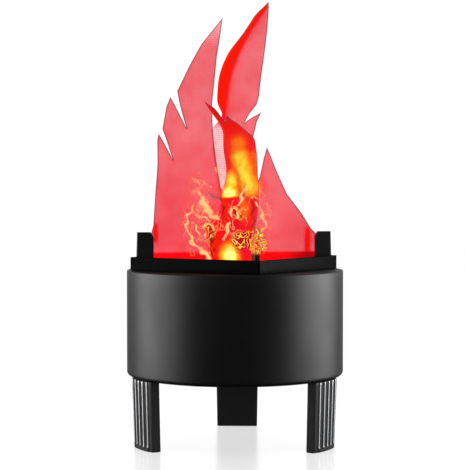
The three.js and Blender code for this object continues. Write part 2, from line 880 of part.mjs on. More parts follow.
function makeStator() {
  const top = fanTop - hubBaseThickness - 2 * fit - boardThickness - fit;
  const bottom = top - statorHeight;
  const hub = ring(statorRadius / 2, tubeRadius + fit, bottom, top, 16);
  const arms = quarters().map((angle) =>
    block(
      [statorRadius / 2 - fuse, statorRadius - cupWall / 2],
      [-strutWidth / 2, strutWidth / 2],
      [bottom, top],
    ).rotateZ(angle),
  );
  const shoes = quarters().map((angle) => {
    const shoe = ring(statorRadius, statorRadius - cupWall, bottom, top, 24);
    const sector = block([0, statorRadius], [-statorRadius / 2, statorRadius / 2], [bottom, top]);
    return common(shoe, sector).rotateZ(angle);
  });
  return join(hub, ...arms, ...shoes);
}

// Guard over the outlet: a centre plate, four arms ending in eyelets, and wire rings
function makeGuard() {
  const arms = quarters().map((angle) =>
    block([guardPlateRadius / 2, fanHolePlace], [-guardWire, guardWire], [guardBottom, guardTop])
      .rotateZ(angle),
  );
  const eyelets = quarters().map((angle) =>
    rod(eyeletRadius, guardBottom, guardTop, 10, fanHolePlace).rotateZ(angle),
  );
  const rings = Array.from({ length: guardRingCount }, (_, i) => {
    const radius = guardReach - (i * (guardReach - guardPlateRadius)) / guardRingCount;
    return new THREE.TorusGeometry(radius, guardWire, 4, 28).translate(0, 0, guardBottom + guardWire);
  });
  const plate = rod(guardPlateRadius, guardBottom, guardTop, 24);
  const peg = rod(pegRadius, guardTop - fuse, guardTop + pegHeight, 8);
  const holes = quarters().map((angle) =>
    rod(fanScrewRadius + fit, guardBottom - overrun, guardTop + overrun, 8, fanHolePlace)
      .rotateZ(angle),
  );
  return cut(join(plate, peg, ...arms, ...eyelets, ...rings), ...holes);
}

function makeLed() {
  const dome = arc(0, ledHeight - ledRadius, ledRadius, 0, 90, 3).slice(0, -1);
  return revolve([[0, 0], [ledRadius, 0], ...dome, [0, ledHeight]], 12);
}

// Driver board parts
function makeTransformer() {
  const [width, depth, height] = transformerSize;
  const core = block(
    [-width / 2, width / 2],
    [-depth / 2, depth / 2],
    [height / 2 - coreHeight / 2, height / 2 + coreHeight / 2],
  );
  const half = width / 2 - coreOverhang;
  const winding = extrude(
    outline([
      [-half, -depth / 2 - coreOverhang],
      [half, -depth / 2 - coreOverhang],
      [half, depth / 2 + coreOverhang],
      [-half, depth / 2 + coreOverhang],
    ]),
    height,
  );
  return join(core, winding);
}

function makeCapacitor() {
  const groove = capacitorRadius - capacitorCrimp / 4;
  return revolve(
    [
      [0, 0],
      [capacitorRadius, 0],
      [capacitorRadius, capacitorHeight - 3 * capacitorCrimp],
      [groove, capacitorHeight - 2 * capacitorCrimp],
      [capacitorRadius, capacitorHeight - capacitorCrimp],
      [groove, capacitorHeight],
      [0, capacitorHeight],
    ],
    14,
  );
}

function makeTerminal() {
  const [width, depth, height] = terminalSize;
  const body = outline([
    [-depth / 2, 0],
    [depth / 2, 0],
    [depth / 2, height / 2],
    [depth / 4, height],
    [-depth / 2, height],
  ]);
  const housing = extrude(body, width).rotateY(Math.PI / 2).rotateX(Math.PI / 2);
  housing.translate(-width / 2, 0, 0);
  return housing;
}

// Power inlet: a flange on the flat, a shell through it, and two pins in its cavity
function makeInlet() {
  const [width, height] = inletFlange;
  const [bodyWidth, bodyHeight] = inletBody;
  const mouth = fittingPlace + flangeThickness;
  const upright = (w, h, run) => block([-w / 2, w / 2], run, [-h / 2, h / 2]);
  const rounded = (w, h, run) => {
    const shape = new THREE.Shape();
    shape.absarc(0, (h - w) / 2, w / 2, 0, Math.PI, false);
    shape.absarc(0, (w - h) / 2, w / 2, Math.PI, 2 * Math.PI, false);
    return extrude(shape, run[1] - run[0], 6).rotateX(Math.PI / 2).translate(0, run[1], 0);
  };
  const flange = rounded(width, height, [fittingPlace, mouth]);
  const shell = upright(bodyWidth, bodyHeight, [mouth - inletDepth, mouth - fuse]);
  const inner = [bodyWidth - 2 * inletWall, bodyHeight - 2 * inletWall];
  const cavity = rounded(...inner, [mouth - inletCavity, mouth + overrun]);
  const pins = [-inletPinSpread, inletPinSpread].map((z) =>
    rod(inletPinRadius, -fuse, inletPinLength, 8)
      .rotateX(-Math.PI / 2)
      .translate(0, mouth - inletCavity, z),
  );
  const holes = [-inletScrewPlace, inletScrewPlace].map((z) =>
    rod(clearHole, fittingPlace - overrun, mouth + overrun, 8).rotateX(-Math.PI / 2).translate(0, 0, z),
  );
  return join(cut(join(flange, shell), cavity, ...holes), ...pins).translate(
    -fittingSpread,
    0,
    panelCentre,
  );
}

// Rocker switch: a housing with a window, and a rocker on a level axle
const rockerPivot = fittingPlace + flangeThickness - rockerPivotDepth;

function makeSwitchHousing() {
  const [width, height] = switchFlange;
  const [bodyWidth, bodyHeight] = switchBody;
  const mouth = fittingPlace + flangeThickness;
  const upright = (w, h, run) => block([-w / 2, w / 2], run, [-h / 2, h / 2]);
  const flange = upright(width, height, [fittingPlace, mouth]);
  const shell = upright(bodyWidth, bodyHeight, [mouth - switchDepth, mouth - fuse]);
  const inner = [bodyWidth - 2 * switchWall, bodyHeight - 2 * switchWall + fit];
  const well = upright(...inner, [mouth - switchDepth + 2 * switchWall, mouth + overrun]);
  const sockets = rod(axleRadius + fit, -bodyWidth / 2 + fit, bodyWidth / 2 - fit, 12)
    .rotateY(Math.PI / 2)
    .translate(0, rockerPivot, 0);
  return cut(join(flange, shell), well, sockets).translate(fittingSpread, 0, panelCentre);
}

function makeRocker() {
  const face = rockerPivotDepth + rockerCrest;
  const profile = outline([
    [face - rockerCrest / 2, -rockerHalf],
    [face - rockerCrest, 0],
    [face - rockerCrest / 2, rockerHalf],
    [0, rockerHalf],
    [-rockerBack, rockerHalf / 4],
    [-rockerBack, -rockerHalf / 4],
    [0, -rockerHalf],
  ]);
  const body = extrude(profile, rockerWidth).translate(0, 0, -rockerWidth / 2);
  body.rotateZ(Math.PI / 2).rotateY(Math.PI / 2);
  const axleHalf = switchBody[0] / 2 - switchWall / 2;
  const axle = rod(axleRadius, -axleHalf, axleHalf, 10).rotateY(Math.PI / 2);
  return join(body, axle);
}

// Wires: tubes along smooth routes between the fittings
function makeWire(points, radius = wireRadius) {
  const route = new THREE.CatmullRomCurve3(
    points.map(([x, y, z]) => new THREE.Vector3(x, y, z)),
    false,
    "centripetal",
  );
  const section = outline(
    Array.from({ length: wireSides }, (_, i) => {
      const angle = (2 * i * Math.PI) / wireSides;
      return [radius * Math.cos(angle), radius * Math.sin(angle)];
    }),
  );
  const steps = 4 * (points.length - 1);
  return new THREE.ExtrudeGeometry(section, { steps, extrudePath: route, bevelEnabled: false });
}

// The drum, its base plate and its screws
addPiece(part, "drum_housing", makeDrum(), satinBlack);
addPiece(part, "base_plate", makePlate(), fanBlack);

for (const [side, angle] of Object.entries(legTurns)) {
  const stand = new THREE.Group();
  stand.rotation.z = angle;
  part.add(stand);
  addPiece(stand, `leg_${side}`, makeLeg(), satinBlack);
  for (const [place, sign] of [["a", -1], ["b", 1]]) {
    const legScrew = addPiece(stand, `leg_screw_${side}_${place}`, screw(legScrewLength), zinc);
    legScrew.position.set(sign * legBossSpread, -legBossPlace, plateTop + fit);
  }
}

quarters(collarTurn + Math.PI / 4).forEach((angle, i) => {
  const stand = new THREE.Group();
  stand.rotation.z = angle;
  part.add(stand);
  const baseScrew = addPiece(stand, `base_screw_${i + 1}`, screw(baseScrewLength), zinc);
  baseScrew.position.set(towerPlace, 0, drumBottom - fit);
  baseScrew.rotation.x = Math.PI;
});

// The collar with its posts and silk. The head group's corners are right +X, rear +Y, left -X, front -Y.
addPiece(head, "flame_collar", makeCollar(), glossBlack);

const wings = {
  right: [rightWingShares, sideSurface(1)],
  rear: [rearWingShares, rearSurface],
  left: [leftWingShares, sideSurface(-1)],
  front: [frontWingShares, frontSurface],
};
Object.entries(wings).forEach(([side, [shares, surface]], i) => {
  const stand = new THREE.Group();
  stand.rotation.z = (i * Math.PI) / 2;
  head.add(stand);
  addPiece(stand, `post_${side}`, makePost(), glossBlack);
  const postScrew = addPiece(stand, `post_screw_${side}`, screw(postScrewLength), zinc);
  postScrew.position.set(postScrewPlace, 0, floorBottom - fit);
  postScrew.rotation.x = Math.PI;
  addPiece(stand, `silk_${side}_wing`, makeWing(shares, surface), silkRed);
  const fanScrew = addPiece(
    stand,
    `fan_screw_${side}`,
    screw(fanScrewLength, fanScrewRadius, fanScrewHead),
    zinc,
  );
  fanScrew.position.set(fanHolePlace, 0, guardTop + fit);
});

// The fan
const bearingTop = fanTop - hubBaseThickness - fit;
const bearingBottom = bearingTop - tubeLength + cupFloor;
const shaftBottom = cupBottom + cupFloor + fit;
const boardTop = fanTop - hubBaseThickness - fit;
const magnetRadius = cupRadius - cupWall - fit;
addPiece(head, "fan_frame", makeFanFrame(), fanBlack);
addPiece(head, "fan_rotor", makeRotor(), fanBlack);
addPiece(head, "fan_shaft", rod(shaftRadius, shaftBottom, bearingTop - overrun, 12), steel);
addPiece(
  head,
  "fan_bearing",
  ring(tubeRadius - tubeWall - fit, shaftRadius + fit, bearingBottom, bearingTop, 14),
  bronze,
);
addPiece(
  head,
  "fan_magnet",
  ring(magnetRadius, magnetRadius - magnetWall, cupBottom + cupFloor + fit, cupTop - fit, 28),
  ferrite,
);
addPiece(head, "fan_stator", makeStator(), steel);
addPiece(
  head,
  "fan_circuit_board",
  ring(magnetRadius - magnetWall, tubeRadius + fit, boardTop - boardThickness, boardTop, 20),
  boardGreen,
);
addPiece(head, "fan_guard", makeGuard(), zinc);

// The LED board on the guard, with its lenses
addPiece(
  head,
  "led_board",
  ring(ledBoardRadius, pegRadius + fit, ledBottom, ledTop, 24),
  boardWhite,
);
quarters(Math.PI / 4).forEach((angle, i) => {
  const lens = addPiece(head, `led_lens_${i + 1}`, makeLed(), lensClear);
  lens.position.set(ledCircle * Math.cos(angle), ledCircle * Math.sin(angle), ledTop + fit);
});

// The driver board on the base plate
const driver = block(
  [-driverWidth / 2, driverWidth / 2],
  [driverPlace - driverDepth / 2, driverPlace + driverDepth / 2],
  [driverBottom, driverTop],
);
const driverHoles = standoffs.map(([x, y]) =>
  rod(clearHole, driverBottom - overrun, driverTop + overrun, 8, x, y),
);
addPiece(part, "driver_board", cut(driver, ...driverHoles), boardGreen);
const transformer = addPiece(part, "transformer", makeTransformer(), tapeYellow);
transformer.position.set(0, driverPlace, driverTop + fit);
const besideCore = (transformerSize[0] + driverWidth) / 4;
const capacitor = addPiece(part, "capacitor", makeCapacitor(), sleeveBlue);
capacitor.position.set(-besideCore, driverPlace, driverTop + fit);
const terminal = addPiece(part, "terminal_block", makeTerminal(), terminalGreen);
terminal.position.set(besideCore, driverPlace, driverTop + fit);
[standoffs[0], standoffs[3]].forEach(([x, y], i) => {
  const boardScrew = addPiece(part, `board_screw_${i + 1}`, screw(boardScrewLength), zinc);
  boardScrew.position.set(x, y, driverTop + fit);
});

// The fittings in the back flat
addPiece(part, "power_inlet", makeInlet(), glossBlack);
[-inletScrewPlace, inletScrewPlace].forEach((z, i) => {
  const inletScrew = addPiece(part, `inlet_screw_${i + 1}`, screw(inletScrewLength), zinc);
  inletScrew.position.set(-fittingSpread, fittingPlace + flangeThickness + fit, panelCentre + z);
  inletScrew.rotation.x = -Math.PI / 2;
});
addPiece(part, "switch_housing", makeSwitchHousing(), glossBlack);
const rocker = addPiece(part, "switch_rocker", makeRocker(), glossBlack);
rocker.position.set(fittingSpread, rockerPivot, panelCentre);
rocker.rotation.x = -rockerTilt;

// The wires, each from one terminal to the next
const inletRear = fittingPlace + flangeThickness - inletDepth - fit;
const switchRear = fittingPlace + flangeThickness - switchDepth - fit;
const terminalTop = driverTop + fit + terminalSize[2] + fit;
const routes = {
  wire_inlet_switch: [
    [-fittingSpread, inletRear, panelCentre + wireway],
    [-fittingSpread, inletRear - 2 * wireway, panelCentre + wireway],
    [0, inletRear - 3 * wireway, panelCentre + 2 * wireway],
    [fittingSpread, inletRear - 2 * wireway, panelCentre + wireway],
    [fittingSpread, switchRear, panelCentre + wireway],
  ],
  wire_switch_driver: [
    [fittingSpread, switchRear, panelCentre - wireway],
    [fittingSpread, switchRear - wireway, panelCentre - wireway],
    [besideCore - wireway, driverPlace + 2 * wireway, panelCentre - wireway],
    [besideCore - wireway, driverPlace, terminalTop + wireway],
    [besideCore - wireway, driverPlace, terminalTop],
  ],
};
for (const [name, points] of Object.entries(routes)) {
  addPiece(part, name, makeWire(points), wireBlack);
}

// The leads that climb beside the fan and through the collar's floor, to its hub and to the LEDs
const leadTurn = collarTurn + Math.PI / 4;
const leadPoint = (radius, height, side = 0) => [
  radius * Math.cos(leadTurn) - side * Math.sin(leadTurn),
  radius * Math.sin(leadTurn) + side * Math.cos(leadTurn),
  height,
];
const overStrut = fanTop + fit + leadRadius;
const fanLead = [
  [besideCore + wireway, driverPlace + wireway / 2, terminalTop],
  [besideCore + wireway, driverPlace + wireway / 2, terminalTop + wireway],
  leadPoint(leadPlace, fanBottom, wireway / 2),
  leadPoint(leadPlace, fanTop - wireway, wireway / 2),
  leadPoint(leadPlace - wireway, overStrut, wireway / 4),
  leadPoint(ductRadius - wireway, overStrut),
  leadPoint(hubBaseRadius, overStrut),
];
const overGuard = guardTop + fit + leadRadius;
const ledLead = [
  [besideCore + wireway, driverPlace - wireway / 2, terminalTop],
  [besideCore + wireway, driverPlace - wireway / 2, terminalTop + wireway],
  leadPoint(leadPlace, fanBottom, -wireway / 2),
  leadPoint(leadPlace, floorTop, -wireway / 2),
  leadPoint(leadPlace - wireway, overGuard, -wireway / 2),
  leadPoint(ledBoardRadius + 2 * wireway, overGuard, -wireway / 2),
  leadPoint(ledBoardRadius + fit + leadRadius, overGuard, -wireway / 2),
];
addPiece(part, "wire_fan", makeWire(fanLead, leadRadius), wireBlack);
addPiece(part, "wire_leds", makeWire(ledLead, leadRadius), wireRed);

export default part;
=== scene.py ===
import math
from functools import partial

import bmesh
import bpy
import numpy as np
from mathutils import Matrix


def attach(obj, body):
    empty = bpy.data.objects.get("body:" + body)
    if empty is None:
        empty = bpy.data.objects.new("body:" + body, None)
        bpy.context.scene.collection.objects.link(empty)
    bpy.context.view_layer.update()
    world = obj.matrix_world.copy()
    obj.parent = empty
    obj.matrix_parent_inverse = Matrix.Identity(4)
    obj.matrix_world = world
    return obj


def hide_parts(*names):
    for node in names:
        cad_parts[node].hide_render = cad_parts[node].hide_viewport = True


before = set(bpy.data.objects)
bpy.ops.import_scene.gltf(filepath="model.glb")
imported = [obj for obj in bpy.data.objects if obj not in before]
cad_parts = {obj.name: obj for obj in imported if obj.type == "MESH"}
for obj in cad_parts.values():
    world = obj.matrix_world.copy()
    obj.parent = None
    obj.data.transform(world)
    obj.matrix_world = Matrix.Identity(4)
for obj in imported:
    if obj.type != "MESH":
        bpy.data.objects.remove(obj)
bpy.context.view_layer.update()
print("frame loaded:", len(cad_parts), "nodes")

millimetre = 0.001
collarTurn = math.radians(13.6)  # the square collar stands turned on the drum by this much


# An sRGB hex colour as linear RGBA
def linear(hexColour):
    value = hexColour.lstrip("#")
    parts = [int(value[i:i + 2], 16) / 255 for i in (0, 2, 4)]
    return [c / 12.92 if c <= 0.04045 else ((c + 0.055) / 1.055) ** 2.4 for c in parts] + [1.0]


# The texture scale that makes one blotch or cell this many millimetres across
def perMm(size):
    return 1 / (size * millimetre)


# Fills a node's inputs with numbers, hex colours, or links from other nodes and sockets
def fill(node, inputs):
    for key, value in inputs.items():
        if isinstance(value, str):
            value = linear(value)
        if isinstance(value, bpy.types.Node):
            value = next(socket for socket in value.outputs if socket.enabled)
        if isinstance(value, bpy.types.NodeSocket):
            node.id_data.links.new(value, node.inputs[key])
        else:
            node.inputs[key].default_value = value


# Adds a node with its settings and links. Inputs come in its sockets' order, such as a value and the
# ends it is mapped from and to, or by name. Stops are a colour ramp's (place, hex colour) pairs.
def addNode(tree, kind, *inputs, stops=(), **settings):
    node = tree.nodes.new("ShaderNode" + kind)
    for key, value in settings.items():
        setattr(node, key, value)
    for order, value in enumerate(inputs):
        fill(node, value if isinstance(value, dict) else {order: value})
    if stops:
        elements = node.color_ramp.elements
        while len(elements) < len(stops):
            elements.new(0.5)
        for element, (place, colour) in zip(elements, stops):
            element.position = place
            element.color = linear(colour)
    return node


# A material with one Principled shader, whose constant sockets are given by name without spaces.
# Gives it, the function that adds a node to it, its shader and its Object coordinates.
def newMaterial(name, **sockets):
    material = bpy.data.materials.new(name)
    material.use_nodes = True
    tree = material.node_tree
    shader = tree.nodes["Principled BSDF"]
    byName = {socket.name.replace(" ", ""): socket for socket in shader.inputs}
    for key, value in sockets.items():
        byName[key[0].upper() + key[1:]].default_value = value
    add = partial(addNode, tree)
    return material, add, shader, add("TexCoord").outputs["Object"]


# Dresses a shader from two noises: one, mostly between 0.3 and 0.7, drives its tint and its roughness,
# and the other stands up from the surface by a depth in millimetres
def dressSurface(add, shader, pattern, tones, gloss, relief, strength, depth):
    tint = add("ValToRGB", pattern, stops=tones)
    rough = add("MapRange", pattern, 0.3, 0.7, *gloss)
    bump = add("Bump", {"Height": relief, "Strength": strength, "Distance": depth * millimetre})
    fill(shader, {"Base Color": tint, "Roughness": rough, "Normal": bump})


# Gives carried-over nodes one material
def dressNodes(material, *names):
    for name in names:
        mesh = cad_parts[name].data
        mesh.materials.clear()
        mesh.materials.append(material)


# Joins coincident points, smooths what is not a crease, and puts the mesh in the scene
def finishMesh(name, mesh, material, sharpAngle=35.0):
    samePoint = 0.001 * millimetre
    work = bmesh.new()
    work.from_mesh(mesh)
    bmesh.ops.remove_doubles(work, verts=work.verts, dist=samePoint)
    bmesh.ops.dissolve_degenerate(work, edges=work.edges, dist=samePoint / 10)
    work.to_mesh(mesh)
    work.free()
    mesh.polygons.foreach_set("use_smooth", [True] * len(mesh.polygons))
    mesh.set_sharp_from_angle(angle=math.radians(sharpAngle))
    mesh.materials.append(material)
    piece = bpy.data.objects.new(name, mesh)
    bpy.context.collection.objects.link(piece)
    return piece


# Faces of a grid of points [along, across], closed on itself or capped where asked
def gridFaces(rows, columns, closeAlong=False, closeAcross=False, capped=False, start=0):
    index = np.arange(rows * columns).reshape(rows, columns) + start
    first, last = index[0], index[-1]
    if closeAlong:
        index = np.vstack([index, index[:1]])
    if closeAcross:
        index = np.hstack([index, index[:, :1]])
    corners = [index[:-1, :-1], index[:-1, 1:], index[1:, 1:], index[1:, :-1]]
    faces = np.stack([corner.ravel() for corner in corners], axis=1).tolist()
    if capped:
        faces += [first[::-1].tolist(), last.tolist()]
    return faces


# Keeps numbers at each point of a mesh for its material to read
def keepValues(mesh, values):
    for key, array in values.items():
        layer = mesh.attributes.new(key, "FLOAT", "POINT")
        layer.data.foreach_set("value", np.asarray(array, dtype=np.float32).ravel())


# A piece from a grid of points [along, across, xyz] in millimetres, joined as quads
def pieceFromGrid(name, points, material, values=None, sharpAngle=35.0, flip=False, **closing):
    faces = gridFaces(*points.shape[:2], **closing)
    if flip:
        faces = [face[::-1] for face in faces]
    mesh = bpy.data.meshes.new(name)
    mesh.from_pydata((points.reshape(-1, 3) * millimetre).tolist(), [], faces)
    keepValues(mesh, values or {})
    return finishMesh(name, mesh, material, sharpAngle)


# 0 below the low end, 1 above the high one, and an S curve between them
def smoothStep(value, low, high):
    share = np.clip((value - low) / (high - low), 0, 1)
    return share * share * (3 - 2 * share)


# Points [.., xyz] turned about the drum's axis
def turnedAboutZ(points, angle):
    cos, sin = math.cos(angle), math.sin(angle)
    x, y, z = np.moveaxis(points, -1, 0)
    return np.stack([x * cos - y * sin, x * sin + y * cos, z], axis=-1)


# Camera at the photograph's angle: 1.53 m away, 264 mm up and looking slightly down
camera = {
    "distance": 1532.7, "height": 264.26, "turn": 1.4, "pitch": 1.637, "lens": 110.2, "sensor": 36,
    "nearest": 50.0, "farthest": 50000.0,
}


# Stands at its distance from the drum's axis, turned about it, and looks back at it
def makeCamera():
    data = bpy.data.cameras.new("studioCamera")
    data.lens = camera["lens"]
    data.sensor_width = camera["sensor"]
    data.sensor_fit = "HORIZONTAL"
    data.clip_start = camera["nearest"] * millimetre
    data.clip_end = camera["farthest"] * millimetre
    piece = bpy.data.objects.new("studioCamera", data)
    turn = math.radians(camera["turn"])
    reach = camera["distance"] * millimetre
    piece.location = (reach * math.sin(turn), -reach * math.cos(turn), camera["height"] * millimetre)
    piece.rotation_euler = (math.radians(90 - camera["pitch"]), 0, turn)
    bpy.context.collection.objects.link(piece)
    bpy.context.scene.camera = piece


# Studio: white surroundings, a pale floor, a soft strip lamp at each side and a large one overhead.
# Angles are in degrees, and a strip's is from the side that faces the camera.
studio = {
    "ambient": 0.85,
    "stripPower": 58.0, "stripWide": 1100.0, "stripTall": 500.0, "stripPlace": 1150.0,
    "stripLevel": 260.0, "stripAngles": (-84.5, 90.5),
    "topPower": 7.0, "topSize": 1300.0, "topForward": 350.0, "topHeight": 1700.0, "topTilt": -12.0,
    "fadeStart": 160.0, "fadeEnd": 450.0, "floorLift": 0.67, "floorHalf": 4000.0, "floorDrop": 0.05,
}


# Full white where it is seen, mirrored or looked through, and dimmer where it lights a surface
def makeSky():
    world = bpy.data.worlds.new("whiteStudio")
    bpy.context.scene.world = world
    world.use_nodes = True
    world.node_tree.nodes.clear()
    add = partial(addNode, world.node_tree)
    path = add("LightPath").outputs
    seen = add("Math", path["Is Camera Ray"], path["Is Glossy Ray"], operation="MAXIMUM")
    seen = add("Math", seen, path["Is Transmission Ray"], operation="MAXIMUM")
    strength = add("MapRange", seen, 0, 1, studio["ambient"], 1.0)
    sky = add("Background", "#ffffff", strength)
    add("OutputWorld", sky)


# Adds one soft rectangular lamp and gives its object
def addLamp(name, power, size, place, turn):
    data = bpy.data.lights.new(name, "AREA")
    data.shape = "RECTANGLE"
    data.size, data.size_y = [side * millimetre for side in size]
    data.energy = power
    lamp = bpy.data.objects.new(name, data)
    lamp.location = [axis * millimetre for axis in place]
    lamp.rotation_euler = turn
    bpy.context.collection.objects.link(lamp)
    return lamp


# A strip at each side, which draws highlights and lights nothing else, and one lamp overhead
def makeLamps():
    reach = studio["stripPlace"]
    for side, degrees in zip(("Left", "Right"), studio["stripAngles"]):
        angle = math.radians(degrees)
        place = (reach * math.sin(angle), -reach * math.cos(angle), studio["stripLevel"])
        strip = addLamp("strip" + side, studio["stripPower"], (studio["stripWide"], studio["stripTall"]),
                        place, (math.pi / 2, 0, angle))
        strip.visible_diffuse = False
        strip.visible_camera = False
    addLamp("overhead", studio["topPower"], (studio["topSize"], studio["topSize"]),
            (0, -studio["topForward"], studio["topHeight"]), (math.radians(studio["topTilt"]), 0, 0))


# Glossy white card, pale with a soft mirror image. The camera sees it run out to pure white.
def glossWhiteCard():
    card, add, shader, place = newMaterial(
        "glossWhiteCard", roughness=0.22, IOR=1.25, emissionColor=linear("#ffffff"))
    mottle = add("TexNoise", place, {"Scale": perMm(60), "Detail": 1})
    shade = add("ValToRGB", mottle, stops=[(0, "#7f7f80"), (1, "#838383")])
    away = add("VectorMath", place, operation="LENGTH").outputs["Value"]
    path = add("LightPath").outputs
    start, end = studio["fadeStart"] * millimetre, studio["fadeEnd"] * millimetre
    fade = add("MapRange", away, start, end, interpolation_type="SMOOTHSTEP")
    fade = add("Math", fade, path["Is Camera Ray"], operation="MULTIPLY")
    lift = add("Math", path["Is Camera Ray"], studio["floorLift"], operation="MULTIPLY")
    fill(shader, {"Base Color": shade, "Emission Strength": lift})
    mixed = add("MixShader", fade, shader, add("Emission", "#ffffff", 1.0))
    fill(card.node_tree.nodes["Material Output"], {"Surface": mixed})
    return card


# A flat sheet of card, a hair under the feet
def makeFloor():
    span = np.linspace(-studio["floorHalf"], studio["floorHalf"], 3)
    x, y = np.meshgrid(span, span)
    points = np.stack([x, y, 0 * x - studio["floorDrop"]], axis=-1)
    floor = pieceFromGrid("studioFloor", points, glossWhiteCard())


bpy.context.scene.view_settings.view_transform = "Standard"
makeCamera()
makeSky()
makeLamps()
makeFloor()
print("camera, lamps and floor made")


grainSize = 0.9  # the real spark-eroded grain is 0.1 mm, drawn larger so that it shows


# Injection-moulded black ABS, whose fine grain gives a soft satin sheen
def satinBlackAbs():
    material, add, shader, place = newMaterial("satinBlackAbs", IOR=1.15)
    grain = add("TexNoise", place, {"Scale": perMm(grainSize), "Detail": 3})
    cloud = add("TexNoise", place, {"Scale": perMm(45), "Detail": 2})
    tint = add("ValToRGB", cloud, stops=[(0.3, "#060607"), (0.7, "#09090a")])
    uneven = add("Math", grain, 0.5, cloud, operation="MULTIPLY_ADD")
    rough = add("MapRange", uneven, 0.5, 1.0, 0.42, 0.5)
    bump = add("Bump", {"Height": grain, "Strength": 0.12, "Distance": 0.05 * millimetre})
    fill(shader, {"Base Color": tint, "Roughness": rough, "Normal": bump})
    return material


# Black ABS from a polished tool, which mirrors the room a little through a thin haze
def glossBlackAbs():
    material, add, shader, place = newMaterial("glossBlackAbs", IOR=1.3)
    haze = add("TexNoise", place, {"Scale": perMm(12), "Detail": 3})
    wave = add("TexNoise", place, {"Scale": perMm(1.2), "Detail": 2})
    dressSurface(add, shader, haze, [(0.3, "#1a1a1b"), (0.7, "#212122")], (0.2, 0.3), wave, 0.05, 0.04)
    return material


# Glass-filled nylon, moulded: matt black, faintly streaked along the flow of its fibres
def filledNylonBlack():
    material, add, shader, place = newMaterial("filledNylonBlack", specularIORLevel=0.4)
    flow = add("Mapping", place, {"Scale": (1.0, 1.0, 4.0)})
    fibre = add("TexNoise", flow, {"Scale": perMm(2.5), "Detail": 4, "Roughness": 0.6})
    tones = [(0.35, "#121213"), (0.65, "#1c1c1e")]
    dressSurface(add, shader, fibre, tones, (0.48, 0.62), fibre, 0.15, 0.06)
    return material


# Bare or plated metal. Drawn or turned scratches of the given size vary its tone and gloss.
def workedMetal(name, bright, dull, roughness, scratchSize):
    material, add, shader, place = newMaterial(name, metallic=1.0)
    scratch = add("TexNoise", place, {"Scale": perMm(scratchSize), "Detail": 4, "Roughness": 0.6})
    gloss = (roughness - 0.07, roughness + 0.08)
    dressSurface(add, shader, scratch, [(0.3, dull), (0.7, bright)], gloss, scratch, 0.08, 0.03)
    return material


# Moulded, coated or extruded plastic, with slight blotches in its tone and gloss
def blotchedPlastic(name, light, dark, roughness, blotchSize):
    material, add, shader, place = newMaterial(name)
    blotch = add("TexNoise", place, {"Scale": perMm(blotchSize), "Detail": 3})
    gloss = (roughness - 0.05, roughness + 0.06)
    dressSurface(add, shader, blotch, [(0.3, dark), (0.7, light)], gloss, blotch, 0.06, 0.05)
    return material


# Lamp lens: cast warm epoxy, glowing brighter towards its top
def warmEpoxyLens():
    material, add, shader, place = newMaterial("warmEpoxyLens", roughness=0.12, emissionStrength=2.2)
    height = add("SeparateXYZ", place).outputs["Z"]
    low, high = 170 * millimetre, 176 * millimetre
    up = add("MapRange", height, low, high)
    tint = add("ValToRGB", up, stops=[(0, "#ff5a1e"), (1, "#ffd98a")])
    fill(shader, {"Base Color": tint, "Emission Color": tint})
    return material


# Drum: one moulding turned about the axis, with a flat at the back and a square hole in its deck.
# Rows are heights of points on its straight wall, and the flat starts and ends within its step.
drum = {
    "radius": 115.0, "bottom": 72.4, "top": 183.6, "wall": 2.4, "topEdge": 1.2, "bottomEdge": 4.5,
    "lipRadius": 109.0, "lipHeight": 2.9, "lipEdge": 0.3, "holeHalf": 77.1, "sides": 480,
    "flatPlace": 110.5, "flatLow": 82.0, "flatHigh": 118.0, "flatStep": 0.02,
    "topSteps": 7, "bottomSteps": 12,
    "rows": [80.0, 90.0, 100.0, 110.0, 124.0, 140.0, 155.0, 170.0],
}


# Points of a circle's arc in a profile, as [radius, height] rows
def arcPoints(radius, height, size, start, end, count):
    angle = np.radians(np.linspace(start, end, count))
    return np.stack([radius + size * np.cos(angle), height + size * np.sin(angle)], axis=1)


# The profile of the drum's outside, up from its lower lip, and that of its inside, down from the deck
def drumProfiles():
    radius, lip, bottom, top = drum["radius"], drum["lipRadius"], drum["bottom"], drum["top"]
    low, high, step = drum["flatLow"], drum["flatHigh"], drum["flatStep"]
    rows = sorted(drum["rows"] + [low, low + step, high - step, high])
    lipTop = bottom + drum["lipHeight"]
    foot, edge = drum["bottomEdge"], drum["topEdge"]
    outside = np.vstack([
        [[lip, lipTop], [lip, bottom + drum["lipEdge"]], [lip + drum["lipEdge"], bottom]],
        arcPoints(radius - foot, bottom + foot, foot, -90, 0, drum["bottomSteps"]),
        [[radius, z] for z in rows],
        arcPoints(radius - edge, top - edge, edge, 0, 90, drum["topSteps"]),
    ])
    inner = radius - drum["wall"]
    inside = np.array([[inner, z] for z in [top - drum["wall"], *reversed(rows), lipTop]])
    return outside, inside


